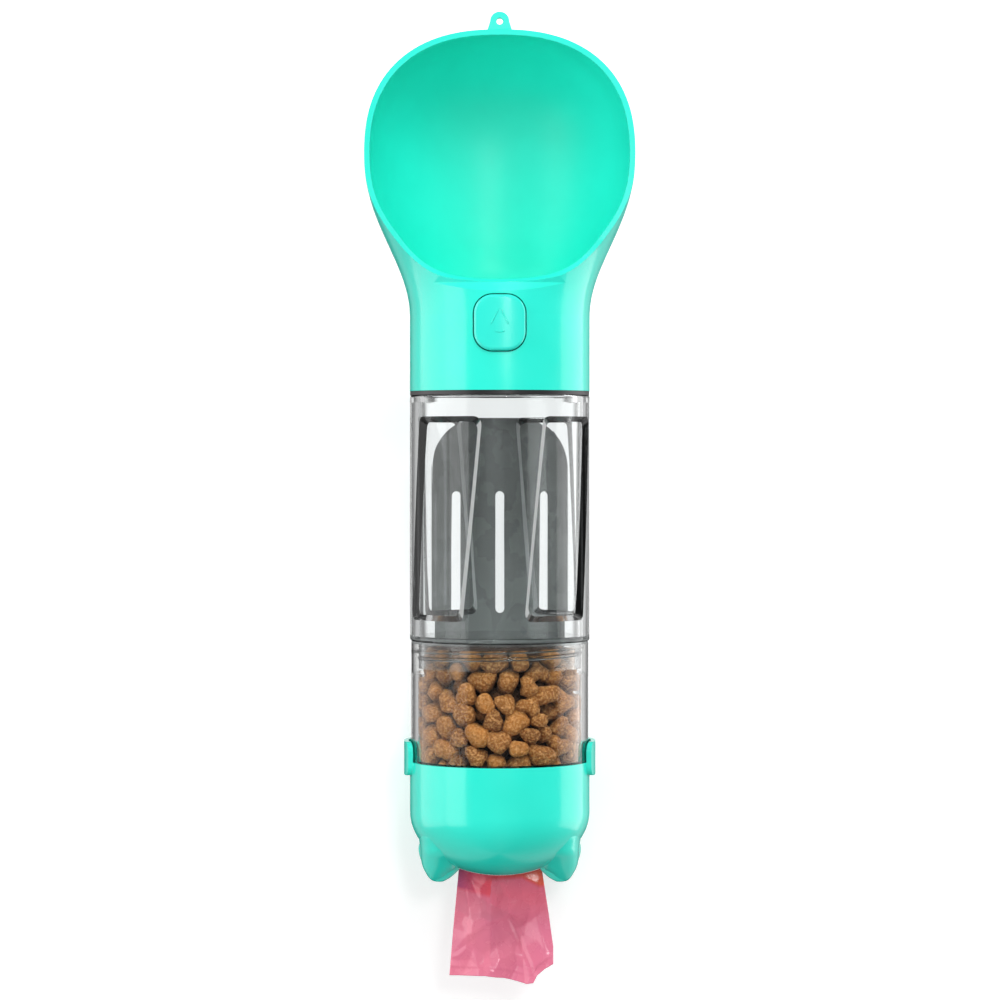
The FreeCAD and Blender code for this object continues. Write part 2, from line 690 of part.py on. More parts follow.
def make_valve_body():
    """Disc, barrel, web and the two duct columns, with the stepped bore through the barrel."""
    body = new_body("valve_body")
    plate = new_sketch(body, "disc_circle", "XY_Plane", z_disc)
    draw_circle(plate, zero, zero, size.skirt_bore_radius - size.running_gap)
    pad(body, plate, "disc", size.disc_thick, back=True)
    barrel = new_sketch(body, "barrel_circle", "XZ_Plane", -y_barrel, z_button)
    draw_circle(barrel, zero, zero, size.barrel_radius)
    pad(body, barrel, "barrel", size.barrel_length, back=True)
    web = new_sketch(body, "web_outline", "XY_Plane", z_disc)
    web_half = size.duct_wall
    draw_outline(web, [(-web_half, y_barrel + 2), (web_half, y_barrel + 2),
                       (web_half, y_barrel_end - 1), (-web_half, y_barrel_end - 1)])
    pad(body, web, "web", z_button - z_disc - size.barrel_radius / 2)
    column = size.duct_radius + size.duct_wall
    inlet = new_sketch(body, "inlet_column_circle", "XY_Plane", z_disc)
    draw_circle(inlet, zero, size.inlet_back, column)
    pad(body, inlet, "inlet_column", z_button - z_disc - size.barrel_radius / 2)
    outlet = new_sketch(body, "outlet_column_circle", "XY_Plane", z_button)
    draw_circle(outlet, zero, -size.outlet_forward, column)
    pad(body, outlet, "outlet_column", z_bowl_floor - z_button)
    bore = new_sketch(body, "bore_section", "YZ_Plane", zero, z_button)
    guide = size.rod_radius + size.running_gap
    seal_end = y_barrel + size.rod_ring_section
    draw_outline(bore, [
        (y_barrel - 1, zero), (y_barrel - 1, guide + size.rod_ring_section),
        (seal_end, guide + size.rod_ring_section), (seal_end, guide),
        (y_barrel + size.guide_length, guide), (y_barrel + size.guide_length, size.chamber_radius),
        (y_seat, size.chamber_radius), (y_seat, size.seat_radius),
        (y_seat_end, size.seat_radius), (y_seat_end, size.rear_chamber_radius),
        (y_barrel_end + 1, size.rear_chamber_radius), (y_barrel_end + 1, zero)])
    spin(body, bore, "bore", "PartDesign::Groove", "H_Axis")
    doc.recompute()
    inlet_duct = new_sketch(body, "inlet_circle", "XY_Plane", z_gasket)
    draw_circle(inlet_duct, zero, size.inlet_back, size.duct_radius)
    pocket(body, inlet_duct, "inlet", z_button - z_gasket, back=True)
    outlet_duct = new_sketch(body, "outlet_circle", "XY_Plane", z_bowl_floor)
    draw_circle(outlet_duct, zero, -size.outlet_forward, size.duct_radius)
    pocket(body, outlet_duct, "outlet", z_bowl_floor - z_button)
    return body


def ring(name, inner_radius, section, y_middle):
    """A rubber ring about the valve's axis."""
    return primitive("Torus", name, (zero, y_middle, z_button), TO_BACK,
                     Radius1=inner_radius + section / 2, Radius2=section / 2)


def washer_like(name, outer, y_start, y_end):
    """A flat ring on the push rod."""
    return cut(name, rod(name + "_disc", outer, y_start, y_end, z_button),
               rod(name + "_hole", size.rod_radius, y_start - 1, y_end + 1, z_button))


def make_valve_parts():
    """Rod, washer, clip, plug and the sealing rings."""
    rod("push_rod", size.rod_radius, y_button_inner, y_clip_end + size.clip_thick / 2, z_button)
    washer_like("valve_washer", size.washer_radius, y_seat_end, y_washer_end)
    washer_like("washer_clip", size.clip_radius, y_washer_end, y_clip_end)
    ring("rod_o_ring", size.rod_radius + size.running_gap, size.rod_ring_section * 0.98,
         y_barrel + size.rod_ring_section / 2)
    section = size.plug_ring_section
    stem_radius = size.rear_chamber_radius - size.running_gap
    y_stem = y_barrel_end - size.plug_depth
    stem = rod("plug_stem", stem_radius, y_stem, y_barrel_end, z_button)
    flange = rod("plug_flange_disc", size.barrel_radius, y_barrel_end,
                 y_barrel_end + size.plug_flange, z_button)
    y_groove = y_stem + size.plug_depth / 2
    groove = cut("plug_groove",
                 rod("groove_outer", size.barrel_radius, y_groove - section / 2,
                     y_groove + section / 2, z_button),
                 rod("groove_inner", stem_radius - section, y_stem, y_barrel_end, z_button))
    cut("valve_plug", fuse("plug_solid", stem, flange), groove)
    ring("plug_o_ring", stem_radius - section, section * 0.98, y_groove)


def make_spring():
    """A wound wire spring between the button and the barrel."""
    wire = size.rod_radius / 4
    coil = size.rod_socket_radius + wire * 3
    start = y_button_inner + wire
    length = y_barrel - wire - start
    helix = doc.addObject("Part::Helix", "spring_line")
    for prop, amount in (("Height", length), ("Pitch", length / 4.5), ("Radius", coil)):
        setattr(helix, prop, amount.value)
        drive(helix, prop, amount)
    place(helix, zero, start, z_button, TO_BACK)
    wire_section = primitive("RegularPolygon", "spring_wire", (coil, start, z_button), None,
                             Circumradius=wire)
    wire_section.Polygon = 8
    sweep = doc.addObject("Part::Sweep", "button_spring")
    sweep.Sections = [wire_section]
    sweep.Spine = (helix, [])
    sweep.Solid = True
    sweep.Frenet = True
    return sweep


def make_seals():
    """The flat gasket, the black ring at the joint and the jar's seal."""
    tube("neck_gasket", size.neck_radius, size.neck_radius - size.neck_wall,
         z_neck_top, z_gasket)
    tube("head_seal_ring", size.body_radius - size.ring_inset, size.neck_radius + 0.3,
         z_shoulder, z_skirt_end)
    tube("food_seal", size.jar_radius - size.ring_inset, size.screw_radius + 0.4,
         z_jar_top, z_bottle_end)


def grip_side(side):
    """Everything on the recess's side of one slanted side wall: side is 1 for the right wall
    and -1 for the left. The wall leans outwards by the walls' slope and climbs slanted."""
    radius = size.body_radius.value
    half = math.asin(size.grip_width.value / 2 / radius)
    outwards = Vec(side * math.sin(half), -math.cos(half), 0)
    around = Vec(math.cos(half), side * math.sin(half), 0)
    middle = (z_shoulder - size.grip_drop - size.grip_length / 2).value
    slope = math.tan(math.radians(size.grip_slope.value))
    out = outwards + around * (side * slope)
    up = Vec(0, 0, 1) + around * math.tan(math.radians(size.grip_lean.value))
    out.normalize()
    up.normalize()
    edge_point = outwards * radius + Vec(0, 0, middle)
    reach = size.grip_length.value
    corners = [edge_point + out * reach * a + up * reach * b
               for a, b in ((-0.5, -1), (0.5, -1), (0.5, 1), (-0.5, 1), (-0.5, -1))]
    wall = Part.Face(Part.makePolygon(corners))
    away = up.cross(out) * -side
    away.normalize()
    if away.dot(Vec(-side, 0, 0)) < 0:
        away = away * -1
    return wall.extrude(away * reach)


def grip_recesses():
    """The grip recesses: parts of a groove with sloped walls, their corners rounded."""
    floor_radius = size.body_radius - size.grip_depth
    top = z_shoulder - size.grip_drop
    end = top - size.grip_length
    run = math.tan(math.radians(size.grip_slope.value))
    groove = turned("grip_groove", [
        (floor_radius, end + size.grip_depth * run), (size.body_radius + 1, end - run),
        (size.body_radius + 1, top + run), (floor_radius, top - size.grip_depth * run)])
    doc.recompute()
    recess = groove.Shape.common(grip_side(1)).common(grip_side(-1)).Solids[0]
    corners = [edge for edge in recess.Edges if climbs_out(edge)]
    recess = recess.makeFillet(size.grip_corner.value, corners)
    shapes = []
    for number in range(int(size.grip_count.value)):
        turned_recess = recess.copy()
        turn = number * 360 / size.grip_count.value - size.grip_turn.value
        turned_recess.rotate(Vec(), Vec(0, 0, 1), turn)
        shapes.append(turned_recess)
    return shapes


def climbs_out(edge):
    """True for an edge that runs from a recess's floor out to the bottle's surface."""
    ends = [math.hypot(vertex.X, vertex.Y) for vertex in edge.Vertexes]
    return max(ends) - min(ends) > size.grip_depth.value / 2


def make_bottle():
    """The clear bottle: neck, shoulder, wall, floor and screw ring, then the recesses."""
    wall_inner = size.body_radius - size.bottle_wall
    neck_inner = size.neck_radius - size.neck_wall
    screw_inner = size.screw_radius - size.screw_wall
    floor_top = z_bottle_end + size.bottle_floor
    shoulder_under = z_shoulder - size.shoulder_thick
    shell = turned("bottle_shell", [
        (neck_inner, z_neck_top), (size.neck_radius, z_neck_top),
        (size.neck_radius, z_shoulder), (size.body_radius, z_shoulder),
        (size.body_radius, z_bottle_end), (size.screw_radius, z_bottle_end),
        (size.screw_radius, z_screw_end), (screw_inner, z_screw_end),
        (screw_inner, z_bottle_end), (zero, z_bottle_end),
        (zero, floor_top), (wall_inner, floor_top),
        (wall_inner, shoulder_under), (neck_inner, shoulder_under)])
    doc.recompute()
    outer_edge = size.body_radius.value
    turn = shell.Tip
    round_edges(shell, turn, "bottle_edges", size.shoulder_round,
                lambda edge: isinstance(edge.Curve, Part.Circle)
                and abs(edge.Curve.Radius - outer_edge) < 1e-6)
    grips = [computed("grip_recess_%d" % number, shape)
             for number, shape in enumerate(grip_recesses())]
    return cut("water_bottle", shell, fuse("grip_recesses", *grips))


def make_jar():
    """The clear food jar, with a foot that sits in the base."""
    mouth_inner = size.jar_radius - size.jar_mouth_wall
    inner = size.jar_radius - size.jar_wall
    foot_inner = size.jar_foot_radius - size.jar_wall
    floor_top = z_jar_end + size.jar_floor
    ledge = z_jar_top - size.jar_mouth_depth
    return turned("food_container", [
        (mouth_inner, z_jar_top), (size.jar_radius, z_jar_top),
        (size.jar_radius, z_base_rim), (size.jar_foot_radius, z_base_rim),
        (size.jar_foot_radius, z_jar_end), (zero, z_jar_end),
        (zero, floor_top), (foot_inner, floor_top),
        (foot_inner, z_base_rim - 1.8), (inner, z_base_rim + 0.6),
        (inner, ledge), (mouth_inner, ledge)])


def make_food():
    """The food as one fill that follows the jar's hollow."""
    gap = size.food_gap
    inner = size.jar_radius - size.jar_wall - gap
    foot_inner = size.jar_foot_radius - size.jar_wall - gap
    top_inner = size.screw_radius - size.screw_wall - gap
    top = z_bottle_end - size.food_top_gap
    return turned("kibble", [
        (zero, z_jar_end + size.jar_floor + gap), (foot_inner, z_jar_end + size.jar_floor + gap),
        (foot_inner, z_base_rim - 1.8), (inner, z_base_rim + 0.6),
        (inner, z_screw_end - gap), (top_inner, z_screw_end - gap),
        (top_inner, top), (zero, top)])


def make_ear(name, side):
    """One ear-shaped foot: from a wide oval root to a small round tip."""
    root = ear_section(name + "_root", size.ear_root_half_width, size.ear_root_half_depth,
                       size.ear_root_place * side, z_ear_tip + size.ear_height)
    middle = ear_section(name + "_middle", size.ear_middle_half_width,
                         size.ear_middle_half_depth, size.ear_middle_place * side,
                         z_ear_tip + size.ear_middle_height)
    low = ear_section(name + "_low", size.ear_low_half_width, size.ear_low_half_depth,
                      size.ear_low_place * side, z_ear_tip + size.ear_low_height)
    tip = ear_section(name + "_tip", size.ear_tip_radius, size.ear_tip_radius,
                      size.ear_place * side, z_ear_tip)
    loft = doc.addObject("Part::Loft", name + "_form")
    loft.Sections = [root, middle, low, tip]
    loft.Solid = True
    loft.Ruled = False
    doc.recompute()
    lowest = z_ear_tip.value + 0.01
    rounded = doc.addObject("Part::Fillet", name)
    rounded.Base = loft
    rounding = size.ear_tip_radius.value * 0.75
    rounded.Edges = [(number + 1, rounding, rounding)
                     for number, edge in enumerate(loft.Shape.Edges)
                     if edge.BoundBox.ZMax < lowest]
    return rounded


def ear_section(name, half_width, half_depth, x, z):
    """A level oval."""
    return primitive("Ellipse", name, (x, zero, z), MajorRadius=half_width,
                     MinorRadius=half_depth)


def make_base():
    """The bag box: cup with a rounded bottom, ears, bag slot, roll cradle and strap."""
    wall = size.base_wall
    inner_radius = size.body_radius - wall
    down = (Vec(1, 0, 0), 180)
    dome = primitive("Ellipsoid", "dome_outer", (zero, zero, z_dome), Radius1=size.dome_height,
                     Radius2=size.body_radius, Radius3=size.body_radius, Angle1=-90, Angle2=0)
    cup = upright("cup_outer", size.body_radius, z_dome, z_base_rim)
    hollow_dome = primitive("Ellipsoid", "dome_inner", (zero, zero, z_dome),
                            Radius1=size.dome_height - wall, Radius2=inner_radius,
                            Radius3=inner_radius, Angle1=-90, Angle2=0)
    hollow_cup = upright("cup_inner", inner_radius, z_dome, z_base_rim + 1)
    ears = [make_ear("ear_left", -1), make_ear("ear_right", 1)]
    hollow = fuse("base_hollow", hollow_dome, hollow_cup)
    slot = block("bag_slot", -size.outlet_half_width, size.outlet_half_width,
                 y_tail - size.outlet_depth / 2, y_tail + size.outlet_depth / 2,
                 z_base_end - 1, z_dome)
    shell = cut("base_shell", fuse("base_solid", dome, cup, *ears), hollow)
    ribs = [make_cradle("cradle_left", -1), make_cradle("cradle_right", 1)]
    cradle = common("cradle_ribs", fuse("cradle_blocks", *ribs), fuse("base_filled", dome, cup))
    seat = rod_across("roll_seat", size.roll_radius + size.cradle_gap)
    cradle = cut("cradle", cradle, seat)
    cupped = fuse("base_with_cradle", shell, cradle, make_strap())
    return cut("bag_box", cupped, slot)


def make_cradle(name, side):
    """One rib under the roll of bags."""
    half = size.cradle_thick / 2
    middle = size.cradle_place * side
    return block(name, middle - half, middle + half,
                 -(size.roll_forward + size.roll_radius * 0.75),
                 -(size.roll_forward - size.roll_radius * 0.75), z_base_end, z_roll)


def rod_across(name, radius, length=None):
    """A cylinder along the roll's axis, from side to side."""
    length = length or size.body_radius * 4
    return primitive("Cylinder", name, (-(length / 2), -size.roll_forward, z_roll),
                     (Vec(0, 1, 0), 90), Radius=radius, Height=length)


def make_strap():
    """The strap round the back of the base, with the ledge that the handle stands on."""
    ends = new_body("strap_ends")
    sketch = new_sketch(ends, "strap_side", "YZ_Plane")
    far = strap_radius * 2
    draw_outline(sketch, [(-size.strap_grip, z_strap_end), (far, z_strap_end),
                          (far, z_strap_top), (-size.strap_grip, z_strap_top)])
    raised = pad(ends, sketch, "strap_reach", far * 2, both=True)
    front = -size.strap_grip.value
    round_edges(ends, raised, "strap_rounds", size.strap_round,
                lambda edge: edge.BoundBox.YMax < front + 1e-6 and edge.BoundBox.XLength > 1)
    band = tube("strap_band", strap_radius, strap_inner, z_strap_end, z_strap_top,
                y=size.strap_back)
    ledge = tube("strap_ledge", strap_inner + 0.2, size.body_radius - 0.3, z_strap_end, z_scoop_end,
                 y=size.strap_back)
    behind = block("behind_axis", -far, far, zero, far, z_strap_end, z_scoop_end)
    return fuse("strap", common("strap_arms", band, ends), common("strap_shelf", ledge, behind))


def make_roll():
    """The roll of bags and its core."""
    length = size.roll_length
    cut("bag_roll", rod_across("roll_outer", size.roll_radius, length),
        rod_across("roll_hole", size.core_radius, length + 2))
    core_length = length + size.core_proud * 2
    cut("roll_core", rod_across("core_outer", size.core_radius, core_length),
        rod_across("core_hole", size.core_radius - size.core_wall, core_length + 2))


def make_tail():
    """The folded film from the roll down through the slot to its torn end."""
    body = new_body("bag_tail")
    sketch = new_sketch(body, "tail_outline", "XZ_Plane", -(y_tail + size.tail_thick / 2))
    top = z_roll
    draw_outline(sketch, [
        (-size.tail_left, z_base_end - size.tail_left_drop),
        (size.tail_tip_place, z_base_end - size.tail_tip_drop),
        (size.tail_right, z_base_end - size.tail_right_drop),
        (size.tail_top_half_width + 0.4, z_base_end), (size.tail_top_half_width, top),
        (-size.tail_top_half_width, top), (-size.tail_top_half_width, z_base_end)])
    pad(body, sketch, "tail_film", size.tail_thick)
    return body


def make_scoop():
    """The scoop: a slotted blade and a handle, all one curved wall behind the bottle."""
    body = new_body("scoop")
    sketch = new_sketch(body, "scoop_outline", "XZ_Plane", -(size.body_radius / 4))
    wide = size.scoop_half_width
    narrow = size.handle_half_width
    shoulder = z_scoop_top - size.scoop_shoulder
    blade_end = z_scoop_top - size.blade_length
    taper_end = blade_end - size.taper_length
    draw_outline(sketch, [
        (-narrow, z_scoop_end), (narrow, z_scoop_end), (narrow, taper_end), (wide, blade_end),
        (wide, shoulder), (wide, z_scoop_top), (-wide, z_scoop_top), (-wide, shoulder),
        (-wide, blade_end), (-narrow, taper_end)])
    raised = pad(body, sketch, "scoop_pad", size.body_radius, back=True)
    ended = round_edges(body, raised, "blade_end_round", size.scoop_shoulder * 0.95,
                        lambda edge: along_y(edge)
                        and edge.CenterOfMass.z > z_scoop_top.value - 1)
    waist = (blade_end + taper_end) / 2
    reach = size.taper_length.value / 2 + 1
    round_edges(body, ended, "waist_round", size.taper_length,
                lambda edge: along_y(edge)
                and abs(edge.CenterOfMass.z - waist.value) < reach)
    doc.recompute()
    inside = new_sketch(body, "scoop_inner_circle", "XY_Plane")
    draw_circle(inside, zero, zero, handle_inner)
    pocket(body, inside, "scoop_inner", size.body_radius * 20, both=True)
    outside = new_sketch(body, "scoop_outer_rings", "XY_Plane")
    draw_circle(outside, zero, zero, handle_inner + size.scoop_thick)
    draw_circle(outside, zero, zero, handle_inner * 3)
    pocket(body, outside, "scoop_outer", size.body_radius * 20, both=True)
    slot_top = z_scoop_top - size.slot_drop
    slots = new_sketch(body, "slot_outlines", "XZ_Plane")
    for side in (-1, 0, 1):
        draw_slot(slots, size.slot_spread * side, slot_top - size.slot_length, slot_top,
                  size.slot_half_width)
    pocket(body, slots, "slots", size.body_radius * 2)
    return body


make_head()
make_button()
make_valve_body()
make_valve_parts()
make_spring()
make_seals()
make_bottle()
make_jar()
make_food()
make_base()
make_roll()
make_tail()
make_scoop()

NODES = ["head_shell", "valve_body", "valve_plug", "plug_o_ring", "button_cap", "push_rod",
         "rod_o_ring", "valve_washer", "washer_clip", "button_spring", "neck_gasket",
         "head_seal_ring", "water_bottle", "food_seal", "food_container", "kibble", "bag_box",
         "bag_roll", "roll_core", "bag_tail", "scoop"]

axis_back = tab_rear + size.tab_thick / 2
for name in NODES:
    node = doc.getObject(name)
    held = dict(node.ExpressionEngine).get(".Placement.Base.y", "0")
    held = dict(node.ExpressionEngine).get("Placement.Base.y", held)
    node.setExpression("Placement.Base.y", "%s + %s" % (held, axis_back.text))

doc.recompute()
problems = []
for thing in doc.Objects:
    if "Invalid" in thing.State or "Error" in thing.State:
        problems.append("%s: %s" % (thing.Name, thing.State))
for name in NODES:
    node = doc.getObject(name)
    if node.Shape.isNull() or not node.Shape.isValid() or not node.Shape.Solids:
        problems.append(name + " has no valid solid")
if problems:
    raise RuntimeError("; ".join(problems))

os.makedirs("parts", exist_ok=True)
for name in NODES:
    node = doc.getObject(name)
    node.Label = name
    node.Shape.exportStep("parts/%s.step" % name)
    box = node.Shape.BoundBox
    print("%-16s %2d solid(s) %9.1f mm3  x %.1f..%.1f  y %.1f..%.1f  z %.1f..%.1f" % (
        name, len(node.Shape.Solids), node.Shape.Volume, box.XMin, box.XMax,
        box.YMin, box.YMax, box.ZMin, box.ZMax))
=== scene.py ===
# %% [markdown]
# # A pet travel bottle
# The hard pieces of the bottle come ready made from the frame: the teal bowl with its skirt,
# the clear water bottle, the clear food jar, the teal bag box and the grey scoop. This lesson
# gives them their finishes, and makes what a solid can't show well: loose dry food, a
# crinkled film bag, screw threads, a wire spring, the broad feet and the small sign on the
# button. Lengths are in metres, +Z is up, and the bottle looks along -Y.

import bmesh
import bpy
import math
import numpy as np
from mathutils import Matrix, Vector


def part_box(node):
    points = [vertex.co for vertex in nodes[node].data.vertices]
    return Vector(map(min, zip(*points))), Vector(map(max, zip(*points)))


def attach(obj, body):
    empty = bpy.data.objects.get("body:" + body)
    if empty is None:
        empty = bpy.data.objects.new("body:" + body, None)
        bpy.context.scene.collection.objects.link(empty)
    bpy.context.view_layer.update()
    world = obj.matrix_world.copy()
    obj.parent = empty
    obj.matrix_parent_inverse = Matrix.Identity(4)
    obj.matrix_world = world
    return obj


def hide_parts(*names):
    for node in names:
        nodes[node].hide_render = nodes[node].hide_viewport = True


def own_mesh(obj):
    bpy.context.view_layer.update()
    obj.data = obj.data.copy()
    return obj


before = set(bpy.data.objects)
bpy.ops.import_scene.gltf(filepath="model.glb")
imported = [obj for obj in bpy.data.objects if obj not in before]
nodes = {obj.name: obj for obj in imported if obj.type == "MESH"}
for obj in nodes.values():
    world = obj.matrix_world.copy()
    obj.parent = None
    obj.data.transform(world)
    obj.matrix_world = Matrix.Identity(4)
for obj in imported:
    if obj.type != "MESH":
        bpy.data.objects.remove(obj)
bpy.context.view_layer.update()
MM = 0.001

# %% [markdown]
# Every round piece shares one upright axis. It is read from the black ring at the joint
# between bowl and bottle, so a change of the solids moves everything here with it.

# %% The common axis
ring_low, ring_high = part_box("head_seal_ring")
axis_x = (ring_low.x + ring_high.x) / 2
axis_y = (ring_low.y + ring_high.y) / 2
print("axis at x %.5f y %.5f" % (axis_x, axis_y))

# %% [markdown]
# ## Camera
# The picture was taken from straight in front with a long lens, a little above the middle of
# the bottle and looking down by less than a degree. The distance comes from how much the near
# rims sag below the far ones.

# %% Camera
EYE_ASIDE = 0.0001
EYE_DISTANCE = 1.264
EYE_HEIGHT = -0.1527
TILT_DOWN = math.radians(0.835)
SENSOR_WIDTH = 36.0
FOCAL_LENGTH = 126.0
lens = bpy.data.cameras.new("studio_camera")
lens.sensor_width = SENSOR_WIDTH
lens.lens = FOCAL_LENGTH
camera = bpy.data.objects.new("studio_camera", lens)
camera.location = (EYE_ASIDE, axis_y - EYE_DISTANCE, EYE_HEIGHT)
camera.rotation_euler = (math.pi / 2 - TILT_DOWN, 0.0, 0.0)
bpy.context.scene.collection.objects.link(camera)
bpy.context.scene.camera = camera
bpy.context.scene.view_settings.view_transform = "Standard"
print("camera", tuple(round(v, 4) for v in camera.location))

# %% [markdown]
# ## Light
# Glossy plastic shows its lamps, so they are placed by the bands they leave on the round
# skirt: a tall soft box in front on the left, a wide one at the back on the right, and a third
# on the far left that is seen in gloss alone. A small lamp in front leaves the soft patch
# inside the bowl. The key lamp hangs high above the front; it lights the upper faces and isn't
# seen in gloss. Each lamp turns to face the middle of the bottle.

# %% Lamps
BOTTLE_MIDDLE = (0.0, 0.0108, -0.16)
# Each row: name, (degrees right of the front, distance, height), width, height, radiance.
LAMP_TABLE = (("left_box", (-58, 1.15, -0.1), 0.62, 1.3, 1.8),
              ("right_box", (108, 1.05, -0.1), 0.95, 1.3, 1.6),
              ("key_lamp", (14, 0.75, 0.62), 0.42, 0.42, 9.0),
              ("front_lamp", (9, 1.3, 0.08), 0.17, 0.17, 21.0),
              ("side_box", (-97, 1.15, -0.1), 1.0, 1.3, 1.35))


def soft_box(name, place, width, height, radiance):
    """A rectangular lamp. Its power is radiance x pi x its area, so that radiance 1 is white."""
    data = bpy.data.lights.new(name, "AREA")
    data.shape = "RECTANGLE"
    data.size, data.size_y = width, height
    data.energy = radiance * math.pi * width * height
    lamp = bpy.data.objects.new(name, data)
    bpy.context.scene.collection.objects.link(lamp)
    away = np.array(place) - np.array(BOTTLE_MIDDLE)
    across = math.hypot(away[0], away[1])
    lamp.location = place
    lamp.rotation_euler = (math.atan2(across, away[2]), 0.0,
                           math.atan2(away[1], away[0]) + math.pi / 2)
    return lamp


def around(degrees, distance, height):
    """A place at that angle to the right of the front, that far from the bottle."""
    turn = math.radians(degrees)
    return (math.sin(turn) * distance, axis_y - math.cos(turn) * distance, height)


lamps = {name: soft_box(name, around(*place), *size_and_radiance)
         for name, place, *size_and_radiance in LAMP_TABLE}
lamps["key_lamp"].visible_glossy = False
lamps["side_box"].visible_diffuse = lamps["side_box"].visible_transmission = False
print("lamps", list(lamps))

# %% [markdown]
# The world and every finish are built from nodes. These helpers place one node each, feed it
# with sockets or plain values, and give back what comes out of it.

# %% Node helpers
def place_node(tree, kind, **settings):
    """A node with its plain settings made."""
    node = tree.nodes.new(kind)
    for key, value in settings.items():
        if key in node.inputs:
            node.inputs[key].default_value = value
        else:
            setattr(node, key, value)
    return node


def feed(tree, sockets, values):
    """Links each value that is a socket to its input, and sets each plain one there."""
    for socket, value in zip(sockets, values):
        if isinstance(value, bpy.types.NodeSocket):
            tree.links.new(value, socket)
        else:
            socket.default_value = value


def math_node(tree, operation, *values):
    """The result of a math node."""
    node = place_node(tree, "ShaderNodeMath", operation=operation)
    feed(tree, node.inputs, values)
    return node.outputs[0]


def vector_node(tree, operation, *values):
    """The result of a vector math node, which is a number for a dot product."""
    node = place_node(tree, "ShaderNodeVectorMath", operation=operation)
    feed(tree, node.inputs, values)
    return node.outputs["Value" if operation == "DOT_PRODUCT" else "Vector"]


def parts_of(tree, vector):
    """The outputs X, Y and Z of a vector."""
    node = tree.nodes.new("ShaderNodeSeparateXYZ")
    tree.links.new(vector, node.inputs[0])
    return node.outputs


def mapped(tree, value, low, high, out_low=0.0, out_high=1.0):
    """A value carried from low..high to out_low..out_high, and held at its ends."""
    node = tree.nodes.new("ShaderNodeMapRange")
    keys = "Value", "From Min", "From Max", "To Min", "To Max"
    feed(tree, [node.inputs[key] for key in keys], (value, low, high, out_low, out_high))
    return node.outputs["Result"]


def colour_band(tree, value, stops):
    """A value turned into a colour by stops, which are (place, tone) pairs in their order."""
    node = tree.nodes.new("ShaderNodeValToRGB")
    elements = node.color_ramp.elements
    for element, (place, tone) in zip(elements, (stops[0], stops[-1])):
        element.position, element.color = place, (*tone, 1)
    for place, tone in stops[1:-1]:
        elements.new(place).color = (*tone, 1)
    tree.links.new(value, node.inputs["Fac"])
    return node.outputs["Color"]


def blend(tree, share, first_tone, second_tone):
    """A colour that runs from the first tone to the second by share. A tone is a socket or
    three numbers."""
    node = place_node(tree, "ShaderNodeMix", data_type="RGBA")
    tones = [(*tone, 1) if isinstance(tone, tuple) else tone for tone in (first_tone, second_tone)]
    feed(tree, (node.inputs[0], node.inputs[6], node.inputs[7]), (share, *tones))
    return node.outputs[2]


def either(tree, share, first_shader, second_shader):
    """The first shader where share is 0 and the second where it is 1."""
    node = tree.nodes.new("ShaderNodeMixShader")
    feed(tree, node.inputs, (share, first_shader, second_shader))
    return node.outputs[0]


print("node helpers ready")

# %% [markdown]
# The world gives plain even light to matt surfaces, a little less from below. What shines or
# bends light sees a white background straight behind the bottle and a greyer room to the
# sides, darkest next to the white, because clear plastic on plain white has no dark edges.

# %% World
# The room's grey by degrees round the bottle; 0 is its front and 180 its back.
ROOM_GREYS = ((-180, 0.03), (-158, 0.03), (-146, 0.55), (-84, 0.7), (-30, 0.25), (0, 0.4),
              (40, 0.2), (75, 0.3), (135, 0.7), (150, 0.6), (162, 0.12), (180, 0.10))
# The cosines of 16 and 12 degrees off straight back: the white fades in between the two.
WHITE_BACK = 0.962, 0.978
world = bpy.data.worlds.new("pale_studio")
bpy.context.scene.world = world
world.use_nodes = True
sky_tree = world.node_tree
sky_tree.nodes.clear()
rays = sky_tree.nodes.new("ShaderNodeLightPath").outputs
direction = parts_of(sky_tree, sky_tree.nodes.new("ShaderNodeTexCoord").outputs["Generated"])
angle = math_node(sky_tree, "ARCTAN2", direction["X"],
                  math_node(sky_tree, "MULTIPLY", direction["Y"], -1.0))
room = colour_band(sky_tree, mapped(sky_tree, angle, -math.pi, math.pi),
                   [((degrees + 180) / 360, (grey, grey, grey)) for degrees, grey in ROOM_GREYS])
behind = mapped(sky_tree, direction["Y"], *WHITE_BACK)
overhead = mapped(sky_tree, direction["Z"], 0.55, 0.8, 0.0, 0.5)
seen = math_node(sky_tree, "MAXIMUM", math_node(sky_tree, "MAXIMUM", room, behind), overhead)
plain = mapped(sky_tree, direction["Z"], -0.6, 0.3, 0.50, 0.83)


def sky(colour):
    """One background of the world."""
    light = sky_tree.nodes.new("ShaderNodeBackground")
    feed(sky_tree, [light.inputs["Color"]], [colour])
    return light.outputs[0]


shiny = math_node(sky_tree, "MAXIMUM", rays["Is Glossy Ray"], rays["Is Transmission Ray"])
lit = either(sky_tree, shiny, sky(plain), sky(seen))
world_out = sky_tree.nodes.new("ShaderNodeOutputWorld")
sky_tree.links.new(either(sky_tree, rays["Is Camera Ray"], lit, sky((1, 1, 1, 1))),
                   world_out.inputs["Surface"])
print("world nodes", len(sky_tree.nodes))

# %% [markdown]
# ## Surfaces from numbers
# Every new piece is a grid of points worked out with numpy. One helper turns a grid into a
# mesh; a second makes a closed bar from a ring of points carried along a path.

# %% Mesh helpers
def finish_mesh(name, points, faces):
    """A smooth mesh object at the origin from an array of points and lists of corners."""
    mesh = bpy.data.meshes.new(name)
    mesh.from_pydata(points.reshape(-1, 3).tolist(), [], faces)
    mesh.polygons.foreach_set("use_smooth", [True] * len(mesh.polygons))
    mesh.update()
    piece = bpy.data.objects.new(name, mesh)
    bpy.context.scene.collection.objects.link(piece)
    return piece


